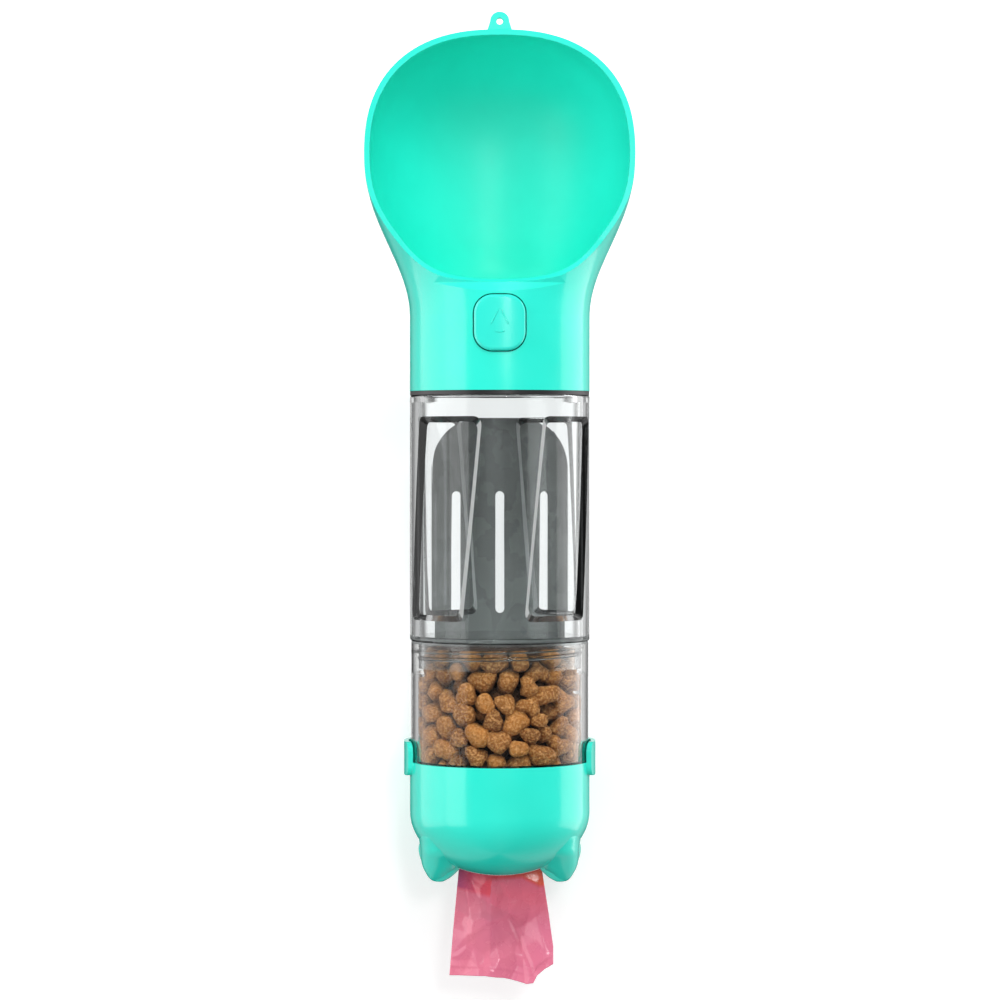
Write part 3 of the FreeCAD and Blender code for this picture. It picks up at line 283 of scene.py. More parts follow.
def grid_faces(rows, columns, closed=False):
    """Four corners for every cell of a grid; closed joins the last column to the first."""
    index = np.arange(rows * columns).reshape(rows, columns)
    if closed:
        index = np.hstack([index, index[:, :1]])
    return np.stack([index[:-1, :-1], index[:-1, 1:], index[1:, 1:], index[1:, :-1]],
                    axis=-1).reshape(-1, 4)


def bar(name, rings):
    """A closed bar: rings is a (steps, corners, 3) array, and both ends get a cap."""
    steps, corners = rings.shape[:2]
    faces = grid_faces(steps, corners, closed=True).tolist()
    faces.append(list(range(corners))[::-1])
    faces.append([(steps - 1) * corners + k for k in range(corners)])
    return finish_mesh(name, rings, faces)


def face_outwards(piece):
    """Turns every face of a closed piece outwards."""
    work = bmesh.new()
    work.from_mesh(piece.data)
    bmesh.ops.recalc_face_normals(work, faces=work.faces)
    work.to_mesh(piece.data)
    work.free()
    return piece


def tell(piece, label, values):
    """Gives a piece a number for each of its points, which its finish can read."""
    piece.data.attributes.new(label, "FLOAT", "POINT").data.foreach_set("value", values.ravel())


print("mesh helpers ready")

# %% [markdown]
# ## Finishes
# All the teal pieces are one glossy moulded plastic. Its colour drifts by a few percent over
# the piece, its gloss is not quite even, and a very fine skin breaks the reflections, as on
# any moulding. Patterns read Object coordinates, which are metres on every piece here. The
# bowl is polished outside and satin inside, where the mould's core is only blasted.

# %% Finish helpers
def new_finish(name):
    """An empty node material and its Principled shader."""
    finish = bpy.data.materials.new(name)
    finish.use_nodes = True
    tree = finish.node_tree
    shader = tree.nodes["Principled BSDF"]
    return finish, tree, shader


def grain(tree, scale, detail=3.0, stretch=(1.0, 1.0, 1.0)):
    """A noise over the piece: scale is how many patches lie in a metre."""
    coords = tree.nodes.new("ShaderNodeTexCoord")
    fit = tree.nodes.new("ShaderNodeMapping")
    fit.inputs["Scale"].default_value = stretch
    tree.links.new(coords.outputs["Object"], fit.inputs["Vector"])
    noise = place_node(tree, "ShaderNodeTexNoise", Scale=scale, Detail=detail)
    tree.links.new(fit.outputs[0], noise.inputs["Vector"])
    return noise.outputs["Fac"]


def spread(tree, source, low, high):
    """The middle of a noise, 0.3 to 0.7, stretched to run from low to high."""
    return mapped(tree, source, 0.3, 0.7, low, high)


def skin(tree, shader, source, strength, distance):
    """A fine bump on a shader from one pattern."""
    bump = place_node(tree, "ShaderNodeBump", Strength=strength, Distance=distance)
    tree.links.new(source, bump.inputs["Height"])
    tree.links.new(bump.outputs["Normal"], shader.inputs["Normal"])
    return bump


def moulded(name, light, dark, gloss=(0.16, 0.26), coat=0.3, fine=0.04, texture=2600.0,
            edge=0.35 * MM):
    """Moulded plastic: light and dark are the two tones that its colour drifts between, and
    edge is how wide its sharp edges look rounded."""
    finish, tree, shader = new_finish(name)
    tree.links.new(blend(tree, spread(tree, grain(tree, 38.0), 0.0, 1.0), light, dark),
                   shader.inputs["Base Color"])
    tree.links.new(spread(tree, grain(tree, 95.0, 4.0), *gloss), shader.inputs["Roughness"])
    shader.inputs["Coat Weight"].default_value = coat
    shader.inputs["Coat Roughness"].default_value = 0.07
    bump = skin(tree, shader, grain(tree, texture, 2.0), fine, 0.00006)
    rounding = place_node(tree, "ShaderNodeBevel", Radius=edge, samples=4)
    tree.links.new(rounding.outputs["Normal"], bump.inputs["Normal"])
    return finish


def place_and_normal(tree):
    """Two sockets: where a point lies on its piece, and which way the surface looks there."""
    return (tree.nodes.new("ShaderNodeTexCoord").outputs["Object"],
            tree.nodes.new("ShaderNodeNewGeometry").outputs["Normal"])


def satin_inside(finish, centre, rough):
    """Makes a hollow piece satin on its inner side. A point is inside where its normal looks
    towards the centre: the share is 1 where normal . (place - centre) is well below 0."""
    tree = finish.node_tree
    shader = tree.nodes["Principled BSDF"]
    place, normal = place_and_normal(tree)
    look = vector_node(tree, "DOT_PRODUCT", vector_node(tree, "SUBTRACT", place, centre), normal)
    share = mapped(tree, look, -0.018, -0.004, 1.0, 0.0)
    gloss = shader.inputs["Roughness"].links[0].from_socket
    satin = tree.nodes.new("ShaderNodeMix")
    feed(tree, (satin.inputs[0], satin.inputs[2], satin.inputs[3]), (share, gloss, rough))
    tree.links.new(satin.outputs[0], shader.inputs["Roughness"])
    coat = shader.inputs["Coat Weight"].default_value
    tree.links.new(math_node(tree, "MULTIPLY_ADD", share, -coat, coat),
                   shader.inputs["Coat Weight"])


TEAL_TONES = (0.020, 0.82, 0.655), (0.015, 0.77, 0.605)
BOWL_CENTRE = (axis_x, axis_y - 14 * MM, -50 * MM)
teal = moulded("teal_gloss", *TEAL_TONES)
bowl_teal = moulded("teal_bowl", *TEAL_TONES)
satin_inside(bowl_teal, BOWL_CENTRE, 0.40)
button_teal = moulded("button_gloss", (0.022, 0.79, 0.65), (0.017, 0.75, 0.61), coat=0.4)
print("teal finishes", teal.name, bowl_teal.name, button_teal.name)

# %% [markdown]
# Clear plastic bends light like glass, but lamps must reach the scoop and the food behind it
# in a simple way, so shadow rays pass straight through. A faint long grain along the bottle
# stands for the flow marks of a blown wall.

# %% Clear plastic
def clear_finish(name, tint, gloss, wave, mirror=1.0):
    """Glass-like plastic that lets lamps through to what is behind it."""
    finish, tree, shader = new_finish(name)
    shader.inputs["Base Color"].default_value = (*tint, 1)
    shader.inputs["Transmission Weight"].default_value = 1.0
    shader.inputs["IOR"].default_value = 1.47
    shader.inputs["Specular Tint"].default_value = (mirror, mirror, mirror, 1)
    tree.links.new(spread(tree, grain(tree, 60.0, 2.0), *gloss), shader.inputs["Roughness"])
    skin(tree, shader, grain(tree, 120.0, 2.0, (1.0, 1.0, 0.25)), wave, 0.0002)
    through = tree.nodes.new("ShaderNodeBsdfTransparent")
    through.inputs["Color"].default_value = (0.95, 0.97, 0.97, 1)
    shadow_ray = tree.nodes.new("ShaderNodeLightPath").outputs["Is Shadow Ray"]
    tree.links.new(either(tree, shadow_ray, shader.outputs[0], through.outputs[0]),
                   tree.nodes["Material Output"].inputs["Surface"])
    return finish


def painted_slope_shade(finish, tint, dark, mist):
    """Paints shade on a clear round piece where its wall slopes: the dark tint there is painted
    shade for the light that the slope sends aside. The slope shows in how well the normal
    agrees with the line straight out from the axis: 1 on the round wall, 0 on a flat end and
    about 0.7 on the walls of the grip recesses. Two slopes stay pale: one that faces up, the
    sill of a recess, keeps the tint, and an upright one near the middle, the inner wall of a
    recess, is misty."""
    tree = finish.node_tree
    shader = tree.nodes["Principled BSDF"]
    place, normal = place_and_normal(tree)
    offset = vector_node(tree, "SUBTRACT", place, (axis_x, axis_y, 0))
    straight_out = vector_node(tree, "NORMALIZE",
                               vector_node(tree, "MULTIPLY", offset, (1, 1, 0)))
    agree = vector_node(tree, "DOT_PRODUCT", straight_out, normal)
    roundness = math_node(tree, "ABSOLUTE", agree)
    # Painted shade: the dark tone on the sloping walls stands for the light they send aside.
    band = colour_band(tree, roundness, ((0.45, tint), (0.60, dark), (0.84, dark), (0.96, tint)))
    normal_z = parts_of(tree, normal)["Z"]
    upward = math_node(tree, "MULTIPLY", math_node(tree, "SIGN", agree), normal_z)
    pale = blend(tree, mapped(tree, upward, 0.35, 0.6), band, tint)
    near = mapped(tree, math_node(tree, "ABSOLUTE", parts_of(tree, offset)["X"]), 0.020, 0.016)
    upright = mapped(tree, math_node(tree, "ABSOLUTE", normal_z), 0.4, 0.25)
    slope = math_node(tree, "MULTIPLY", mapped(tree, roundness, 0.93, 0.84),
                      mapped(tree, roundness, 0.48, 0.60))
    misty = math_node(tree, "MULTIPLY", math_node(tree, "MULTIPLY", near, upright), slope)
    tree.links.new(blend(tree, misty, pale, mist), shader.inputs["Base Color"])
    tree.links.new(math_node(tree, "SUBTRACT", 1.0, math_node(tree, "MULTIPLY", misty, 0.5)),
                   shader.inputs["Transmission Weight"])
    gloss = shader.inputs["Roughness"].links[0].from_socket
    tree.links.new(math_node(tree, "MAXIMUM", gloss, math_node(tree, "MULTIPLY", misty, 0.4)),
                   shader.inputs["Roughness"])


BOTTLE_TINT = (0.93, 0.95, 0.95)
bottle_clear = clear_finish("bottle_clear", BOTTLE_TINT, (0.0, 0.03), 0.06, 0.7)
# The near-black tone is painted shade on the walls of the grip recesses.
painted_slope_shade(bottle_clear, BOTTLE_TINT, (0.03, 0.032, 0.032), (0.62, 0.64, 0.63))
jar_clear = clear_finish("jar_clear", (0.95, 0.955, 0.95), (0.0, 0.04), 0.05, 0.22)
seal_clear = clear_finish("clear_rubber", (0.82, 0.85, 0.85), (0.15, 0.25), 0.02)
print("clear finishes", bottle_clear.name, jar_clear.name, seal_clear.name)

# %% [markdown]
# The small inside pieces have plain real finishes: turned steel with rings round its length,
# black rubber with a faint bloom, white valve plastic, and the brown card of the roll's core.

# %% Other hard finishes
scoop_grey = moulded("scoop_grey", (0.145, 0.152, 0.148), (0.115, 0.122, 0.118),
                     gloss=(0.22, 0.34), coat=0.15, fine=0.05)
valve_white = moulded("valve_white", (0.78, 0.80, 0.79), (0.70, 0.73, 0.72),
                      gloss=(0.35, 0.5), coat=0.0, fine=0.08)
black_rubber = moulded("black_rubber", (0.012, 0.012, 0.013), (0.03, 0.03, 0.032),
                       gloss=(0.3, 0.45), coat=0.0, fine=0.1, texture=1500.0)
card_brown = moulded("card_brown", (0.42, 0.29, 0.17), (0.33, 0.22, 0.12),
                     gloss=(0.75, 0.9), coat=0.0, fine=0.5, texture=900.0)

steel, steel_tree, steel_shader = new_finish("turned_steel")
steel_shader.inputs["Metallic"].default_value = 1.0
steel_tree.links.new(blend(steel_tree, grain(steel_tree, 500.0, 3.0, (1, 8, 1)),
                           (0.50, 0.50, 0.51), (0.68, 0.68, 0.69)),
                     steel_shader.inputs["Base Color"])
steel_tree.links.new(spread(steel_tree, grain(steel_tree, 900.0, 3.0, (1, 10, 1)), 0.18, 0.36),
                     steel_shader.inputs["Roughness"])
print("hard finishes", len(bpy.data.materials))

# %% [markdown]
# The bags are thin pink film. Where the film lies double the colour is deeper, which the piece
# says with an attribute of its own that also carries painted light next to the box, and crinkles
# too small to model are a bump. The food is painted darker the deeper a point lies in the heap,
# as painted shade between the pellets, and fine pale crumbs cover it.

# %% Film and food finishes
def told_by(tree, attribute_name):
    """A number that the piece itself tells for each of its points."""
    return place_node(tree, "ShaderNodeAttribute", attribute_name=attribute_name).outputs["Fac"]


def film_finish(name, with_layers):
    """Glossy pink film; with_layers reads from the piece how much film lies together, which also
    carries painted light, and how far across a place lies. The gathered film runs from purple over
    red to orange: stacked film is deeper in colour, the purple on the left is painted shade and
    the orange on the right is painted light shining through the film."""
    finish, tree, shader = new_finish(name)
    tone = blend(tree, spread(tree, grain(tree, 70.0, 2.0), 0.0, 1.0),
                 (0.85, 0.220, 0.315), (0.75, 0.175, 0.285))
    if with_layers:
        # Real and painted colour: stacked film is deeper, the purple end is painted shade and the
        # orange end painted light shining through.
        deep = colour_band(tree, told_by(tree, "across"),
                           ((0.0, (0.42, 0.05, 0.17)), (0.22, (0.80, 0.06, 0.12)),
                            (0.55, (0.86, 0.06, 0.07)), (1.0, (0.90, 0.12, 0.07))))
        tone = blend(tree, told_by(tree, "layers_and_painted_light"), tone, deep)
    tree.links.new(tone, shader.inputs["Base Color"])
    tree.links.new(spread(tree, grain(tree, 200.0, 2.0), 0.2, 0.32), shader.inputs["Roughness"])
    shader.inputs["Coat Weight"].default_value = 0.25
    shader.inputs["Coat Roughness"].default_value = 0.1
    skin(tree, shader, grain(tree, 130.0, 2.0), 0.2, 0.0004)
    return finish


film_pink = film_finish("film_pink", True)
roll_pink = film_finish("roll_pink", False)

food, food_tree, food_shader = new_finish("dry_food")
baked = blend(food_tree, told_by(food_tree, "tone"), (0.19, 0.062, 0.010), (0.50, 0.190, 0.035))
crumbs = blend(food_tree, spread(food_tree, grain(food_tree, 1150.0, 5.0), -0.45, 0.85), baked,
               (0.76, 0.40, 0.14))
# Painted shade: the deeper a point lies in the heap, the nearer to black it is painted.
painted_heap_shade = blend(food_tree, told_by(food_tree, "deep"), crumbs, (0.02, 0.006, 0.001))
food_tree.links.new(painted_heap_shade, food_shader.inputs["Base Color"])
food_tree.links.new(spread(food_tree, grain(food_tree, 600.0), 0.55, 0.8),
                    food_shader.inputs["Roughness"])
skin(food_tree, food_shader, grain(food_tree, 900.0, 5.0), 1.0, 0.0014)
print("film and food finishes ready")

# %% [markdown]
# The solids now get these finishes. A solid keeps its shape and its place; only the material
# in its slot changes.

# %% Dress the solids
dress = {bowl_teal: ["head_shell"], teal: ["bag_box"], button_teal: ["button_cap"],
         bottle_clear: ["water_bottle"], jar_clear: ["food_container"],
         seal_clear: ["neck_gasket", "food_seal"], scoop_grey: ["scoop"],
         valve_white: ["valve_body", "valve_plug", "washer_clip"],
         black_rubber: ["head_seal_ring", "plug_o_ring", "rod_o_ring", "valve_washer"],
         steel: ["push_rod", "button_spring"], card_brown: ["roll_core"],
         roll_pink: ["bag_roll"], film_pink: ["bag_tail"], food: ["kibble"]}
for finish, names in dress.items():
    for node_name in names:
        nodes[node_name].data.materials[0] = finish
print("dressed", sum(len(names) for names in dress.values()), "nodes")

# %% [markdown]
# ## Screw threads
# The bottle screws into the skirt above and the jar screws onto the ring below. A thread is
# one rounded ridge that climbs 4 mm in each turn. The nut side has the same ridge, turned
# inwards and half a turn away, so the two pass each other when the bottle is unscrewed. The
# lower thread is shallow, because the jar's flat seal slides over it as the jar comes off.

# %% Threads
PITCH = 4.0 * MM
STEPS_A_TURN = 72
NECK_START = 1.2 * MM      # above the skirt's end
SCREW_START = -7.0 * MM    # from the underside of the jar's seal
SCREW_RADIUS = 29.3 * MM


def thread(name, radius, height, z_start, turns, start_turn=0.0, half=0.75 * MM, outward=True):
    """A ridge on a cylinder. Its middle starts at z_start and climbs one pitch in each turn, its
    crest stands height off the radius, and at both ends the height fades to nothing."""
    steps, lean = int(turns * STEPS_A_TURN), (1 if outward else -1)
    share = np.linspace(0.0, 1.0, steps + 1)
    angle = 2 * np.pi * (share * turns + start_turn)
    fade = np.clip(np.minimum(share, 1 - share) * turns * 9, 0.02, 1.0) ** 0.6
    profile = np.array([[-1.0, -0.12], [-0.62, 0.55], [-0.3, 0.92], [0.0, 1.0],
                        [0.3, 0.92], [0.62, 0.55], [1.0, -0.12], [0.0, -0.14]])
    out = radius + lean * height * profile[None, :, 1] * fade[:, None]
    z = z_start + PITCH * share[:, None] * turns + half * profile[None, :, 0] * fade[:, None]
    ridge = np.stack([axis_x + out * np.cos(angle)[:, None],
                      axis_y + out * np.sin(angle)[:, None], z], axis=-1)
    return face_outwards(bar(name, ridge))


gasket_low, gasket_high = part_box("neck_gasket")
neck_radius = (gasket_high.x - gasket_low.x) / 2
neck_z = ring_high.z + NECK_START
neck_thread = thread("neck_thread", neck_radius, 0.75 * MM, neck_z, 1.35)
skirt_thread = thread("skirt_thread", neck_radius + 1.1 * MM, 0.75 * MM, neck_z + PITCH / 2,
                      1.0, outward=False)
screw_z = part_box("food_seal")[0].z + SCREW_START
screw_thread = thread("screw_thread", SCREW_RADIUS, 0.33 * MM, screw_z, 1.45, 0.1)
jar_thread = thread("jar_thread", SCREW_RADIUS + 1.6 * MM, 0.9 * MM, screw_z + PITCH * 0.65,
                    0.8, 0.15, 0.5 * MM, outward=False)
for ridge, body, finish, slot_name in (
        (neck_thread, "bottle", bottle_clear, "clear_plastic"),
        (skirt_thread, "head", teal, "teal_shell"),
        (screw_thread, "bottle", bottle_clear, "clear_plastic"),
        (jar_thread, "jar", jar_clear, "clear_plastic")):
    ridge.data.materials.append(finish)
    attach(ridge, body)
print("threads", [ridge.name for ridge in (neck_thread, skirt_thread, screw_thread, jar_thread)])

# %% [markdown]
# ## The button's spring
# A wire spring sits between the button and the valve's barrel. On the real bottle it is the one
# hard piece that changes its length, flattening towards the barrel by as much as the button goes
# in; here it is wound at one length. Its wire winds 4.5 times round the push rod.

# %% Spring
WINDINGS, STEPS_A_WINDING = 4.5, 48
spring_low, spring_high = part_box("button_spring")
spring_mid = (spring_low + spring_high) / 2
rod_low, rod_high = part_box("push_rod")
wire = (rod_high.x - rod_low.x) / 8    # its radius
coil = (spring_high.x - spring_low.x) / 2 - wire
wound = np.linspace(0, 1, int(WINDINGS * STEPS_A_WINDING) + 1)[:, None]
winding = 2 * np.pi * WINDINGS * wound
round_wire = np.linspace(0, 2 * np.pi, 12, endpoint=False)[None, :]
coil_start = spring_low.y + 1.1 * wire
from_axis = coil + wire * np.cos(round_wire)
spring = face_outwards(bar("wire_spring", np.stack(
    [spring_mid.x + from_axis * np.cos(winding),
     coil_start + (spring_high.y - wire - coil_start) * wound + wire * np.sin(round_wire),
     spring_mid.z + from_axis * np.sin(winding)], axis=-1)))
spring.data.materials.append(steel)
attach(spring, "head")
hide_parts("button_spring")
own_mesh(spring)

# %% [markdown]
# ## The sign on the button
# A plain drop in three strokes stands a fifth of a millimetre off the button's face: two
# straight sides that lean together at the top, and a short curve that closes the bottom. Their
# points are in mm from the middle of the button.

# %% Drop sign
button_low, button_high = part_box("button_cap")
button_mid = np.array([(button_low.x + button_high.x) / 2, (button_low.z + button_high.z) / 2])


def stroke(name, path, half=0.22 * MM, proud=0.2 * MM):
    """A half-round rib on the button's face that follows a path of (x, z) points."""
    path = np.asarray(path) * MM + button_mid
    along = np.gradient(path, axis=0)
    along /= np.linalg.norm(along, axis=1)[:, None]
    side = np.stack([-along[:, 1], along[:, 0]], axis=1)
    turn = np.linspace(0, 2 * np.pi, 12, endpoint=False)
    round_end = np.sqrt(np.clip(1 - np.linspace(-1, 1, len(path)) ** 8, 0.02, 1))
    across = half * np.cos(turn)[None, :] * round_end[:, None]
    up = proud * np.sin(turn)[None, :] * round_end[:, None]
    flat = path[:, None, :] + side[:, None, :] * across[:, :, None]
    rings = np.stack([flat[..., 0], button_low.y - up, flat[..., 1]], axis=-1)
    return face_outwards(bar(name, rings))


ease = np.linspace(0, 1, 24)[:, None]
left_side = (1 - ease) * [-0.3, 4.9] + ease * [-3.1, -0.6]
right_side = (1 - ease) * [0.3, 4.9] + ease * [3.1, -0.6]
bend = np.radians(np.linspace(-125, -55, 24))
under = np.stack([3.0 * np.cos(bend), -0.4 + 3.0 * np.sin(bend)], axis=1)
sign = [stroke("sign_left", left_side), stroke("sign_right", right_side),
        stroke("sign_under", under)]
for line in sign:
    line.data.materials.append(button_teal)
    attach(line, "button")
print("sign strokes", len(sign))

# %% [markdown]
# ## Dry food
# The jar is full of baked pellets, oval or softly three-cornered, 7 to 10 mm long. First
# their centres are spread in the jar and pushed apart until they touch, then every centre gets
# a pellet. One pellet is a small closed grid, because there are hundreds of them.

# %% Where the pellets lie
MOUTH_RADIUS = 27.1 * MM    # where the bottle's end reaches into the jar
FOOT_HEIGHT, FOOT_STEP = 6 * MM, 1.9 * MM
ROUNDS, CLOSE, EASE = 220, 0.9, 0.32    # of pushing apart
food_low, food_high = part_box("kibble")
chance = np.random.default_rng(7)
pellet_count = 350
reach = chance.uniform(3.3, 5.0, pellet_count) * MM
fill_radius = (food_high.x - food_low.x) / 2
mouth_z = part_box("water_bottle")[0].z - 0.3 * MM
spot = np.column_stack([chance.uniform(-1, 1, (pellet_count, 2)) * fill_radius * 0.7,
                        chance.uniform(food_low.z, food_high.z, pellet_count)])


def keep_inside(centre, size):
    """Centres pulled back into the jar: its radius is less in the foot and in the mouth."""
    wide = np.full(len(centre), fill_radius)
    wide[centre[:, 2] < food_low.z + FOOT_HEIGHT] = fill_radius - FOOT_STEP
    wide[centre[:, 2] + size * 0.8 > mouth_z] = MOUTH_RADIUS
    wide = wide - size * 0.66
    far = np.linalg.norm(centre[:, :2], axis=1)
    shrink = np.minimum(1.0, wide / np.maximum(far, 1e-9))
    centre[:, :2] *= shrink[:, None]
    centre[:, 2] = np.clip(centre[:, 2], food_low.z + size * 0.75, food_high.z - size * 0.75)
    return centre


for _ in range(ROUNDS):
    gap = spot[:, None, :] - spot[None, :, :]
    distance = np.linalg.norm(gap, axis=2) + np.eye(pellet_count)
    wanted = (reach[:, None] + reach[None, :]) * CLOSE
    push = np.clip(wanted - distance, 0, None) * (1 - np.eye(pellet_count))
    spot = spot + EASE * (gap / distance[..., None] * push[..., None]).sum(axis=1)
    spot = keep_inside(spot, reach)
print("pellets", pellet_count, "mean push left %.3f mm" % (push.sum(axis=1).mean() / MM))

# %% Shape of the pellets
AROUND, BANDS = 16, 8
theta = np.linspace(0, 2 * np.pi, AROUND, endpoint=False)[None, None, :]
lat = np.linspace(-np.pi / 2, np.pi / 2, BANDS + 1)[1:-1][None, :, None]
three = chance.uniform(0.05, 0.26, (pellet_count, 1, 1))
longer = chance.uniform(0.0, 0.2, (pellet_count, 1, 1))
phase = chance.uniform(0, 2 * np.pi, (3, pellet_count, 1, 1))
outline = (1 + three * np.cos(3 * theta + phase[0]) + longer * np.cos(2 * theta + phase[1])
           + 0.05 * np.cos(5 * theta + phase[2]))
plump = np.cos(lat) ** 0.62
local = np.stack([plump * outline * np.cos(theta), plump * outline * np.sin(theta),
                  np.broadcast_to(0.70 * np.sin(lat) * (1 + 0.12 * np.cos(theta + phase[2])),
                                  (pellet_count, BANDS - 1, AROUND))], axis=-1)
local = local.reshape(pellet_count, -1, 3)
local *= 1 + chance.normal(0, 0.032, local.shape[:2])[..., None]
poles = np.broadcast_to(np.array([[0, 0, -0.68], [0, 0, 0.68]]), (pellet_count, 2, 3))
local = np.concatenate([local, poles], axis=1) * reach[:, None, None]


def turns_for(centre):
    """One turning matrix for each pellet: its flat side faces the nearest wall, more or less,
    and then it is tilted and spun by chance."""
    out = np.column_stack([centre[:, :2], np.zeros(len(centre))])
    out /= np.linalg.norm(out, axis=1)[:, None] + 1e-9
    loose = 0.5 + 1.2 * (1 - np.clip(np.linalg.norm(centre[:, :2], axis=1) / fill_radius, 0, 1))
    flat = out + chance.normal(0, 1, centre.shape) * loose[:, None]
    flat /= np.linalg.norm(flat, axis=1)[:, None]
    helper = chance.normal(0, 1, centre.shape)
    first_side = np.cross(flat, helper)
    first_side /= np.linalg.norm(first_side, axis=1)[:, None]
    return np.stack([first_side, np.cross(flat, first_side), flat], axis=-1)


# Points beyond the jar's wall are pulled back to it. The wall's radius goes by height, both in
# mm, and a point's depth counts from HEAP_RADIUS and from the jar's floor; the food's finish
# paints shade by that depth.
WALL_HEIGHTS = [0.0, 1.8, 4.3, 37.0, 37.6, 45.0]
WALL_RADII = [27.5, 27.5, 29.45, 29.45, 27.3, 27.3]
HEAP_RADIUS, PALE_DEPTH, FULL_DEPTH, DARKEST = 29.3 * MM, 0.8 * MM, 5.2 * MM, 0.97
points = np.einsum("nij,nkj->nki", turns_for(spot), local) + spot[:, None, :]
allowed = np.interp(points[..., 2], np.array(WALL_HEIGHTS) * MM + food_low.z,
                    np.array(WALL_RADII) * MM)
off_axis = np.linalg.norm(points[..., :2], axis=-1)
points[..., :2] *= np.minimum(1.0, allowed / np.maximum(off_axis, 1e-9))[..., None]
points[..., 2] = np.clip(points[..., 2], food_low.z - 0.1 * MM, food_high.z)
depth = np.minimum(HEAP_RADIUS - np.linalg.norm(points[..., :2], axis=-1),
                   points[..., 2] - food_low.z)
points[..., 0] += axis_x
points[..., 1] += axis_y
side_faces = grid_faces(BANDS - 1, AROUND, closed=True)
belt = np.arange(AROUND)
step = np.roll(belt, -1)
last = (BANDS - 2) * AROUND
low_fan = np.stack([np.full(AROUND, (BANDS - 1) * AROUND), step, belt], axis=1)
high_fan = np.stack([np.full(AROUND, (BANDS - 1) * AROUND + 1), last + belt, last + step], axis=1)
corner_count = points.shape[1]
faces = [face for k in range(pellet_count) for block in (side_faces, low_fan, high_fan)
         for face in (block + corner_count * k).tolist()]
pellets = finish_mesh("dry_food_pellets", points, faces)
tell(pellets, "tone", np.repeat(chance.uniform(0, 1, pellet_count), corner_count))
# Painted shade between the pellets: the finish darkens each point by its depth in the heap.
tell(pellets, "deep", np.clip((depth - PALE_DEPTH) / FULL_DEPTH, 0, DARKEST))
pellets.data.materials.append(food)
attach(pellets, "jar")
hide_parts("kibble")
print("food faces", len(pellets.data.polygons))

# %% [markdown]
# ## The bag that hangs out
# A flattened film bag comes out of the slot. It has a lengthwise fold, so that its two halves
# face slightly apart, and it is crumpled into flat facets with sharp ridges between them, as
# film has and cloth has not. Its places are worked out in mm.

# %% Film bag
ROWS, COLUMNS = 170, 110
FILM_THICKNESS = 0.12 * MM
BOX_EDGE, EASE_LENGTH = -300.0, 14.0    # where the box lets the film go, and how gently
FULL_GATHER = 0.9
tail_low, tail_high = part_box("bag_tail")
down = np.linspace(0, 1, ROWS)[:, None]
side = np.linspace(-1, 1, COLUMNS)[None, :]
left_line = np.interp(down, [0, 0.325, 0.66, 1.0], [-14.9, -14.9, -16.7, -18.3])
right_line = np.interp(down, [0, 0.325, 0.66, 0.88, 1.0], [14.9, 15.3, 17.9, 19.4, 19.4])
x_mm = left_line + (right_line - left_line) * (side + 1) / 2
end_mm = np.interp(x_mm, [-18.3, -5.3, 1.5, 6.5, 9.6, 12.2, 13.6, 16.5, 19.4],
                   [-343.9, -343.6, -344.4, -345.7, -346.6, -346.1, -343.4, -341.0, -339.2])
top_mm = tail_high.z / MM
z_mm = top_mm + (end_mm - top_mm) * down


def facets(chance_of, count, tall):
    """Flat facets with sharp edges: the highest of many planes, each of which touches the same
    shallow bowl at one site. tall stretches the facets lengthwise."""
    sites = np.column_stack([chance_of.uniform(-24, 24, count),
                             chance_of.uniform(-350, -285, count) / tall])
    planes = (sites[:, 0, None, None] * x_mm + sites[:, 1, None, None] * z_mm / tall
              - (sites ** 2).sum(axis=1)[:, None, None] / 2)
    return planes.max(axis=0)


film_chance = np.random.default_rng(11)
crumple = (0.036 * (facets(film_chance, 15, 1.5) - facets(film_chance, 15, 1.5))
           + 0.045 * (facets(film_chance, 60, 1.3) - facets(film_chance, 60, 1.3)))
crumple -= crumple.mean()
free = np.clip((BOX_EDGE - z_mm) / EASE_LENGTH, 0, 1)
# The halves slope away from the fold, a slanting tuck stands low on the right, and a flat hem
# runs along the torn foot.
fold_x = -3.1 + 0.02 * (z_mm + 306)
ridge = np.abs(x_mm - fold_x) * np.where(x_mm < fold_x, 0.22, 0.12)
tuck = (np.clip(1.2 - np.abs((x_mm - 8.0) * 0.9 + (z_mm + 333) * 0.38), 0, 1.2)
        * np.clip((-322 - z_mm) / 6, 0, 1))
hem = np.clip(z_mm - end_mm - 2.6, 0, 0.8)
y_mm = ((tail_low.y + tail_high.y) / 2 / MM + free * (ridge - 1.6 + 0.5 * tuck - 0.3 * hem)
        + crumple * (0.2 + 0.8 * free) - 0.02 * np.abs(x_mm) * (1 - free))
film = finish_mesh("hanging_film",
                   np.stack([x_mm + axis_x / MM, y_mm, z_mm], axis=-1) * MM,
                   grid_faces(ROWS, COLUMNS).tolist())
# Film lies double right of the fold and gathered next to the box, which deepens its colour.
# What hangs just below the gathered film gets a warmer, deeper tone: painted light, making up
# for the shade and teal light that the box throws on it.
doubled = np.clip((x_mm - fold_x) / 0.6, 0, 1) * 0.16
edge_of = np.interp(x_mm, [-15, -3.4, -2.9, 8, 14.5], [-313.0, -315.8, -309.5, -308.8, -312.0])
gathered = np.clip((z_mm - edge_of) / 1.6, 0, 1) * FULL_GATHER
# Painted light: this share warms and deepens the film just under the gathered part, against the
# box's shade.
painted_light_below_box = np.clip((z_mm + 328) / 14, 0, 1) * (1 - gathered / FULL_GATHER)
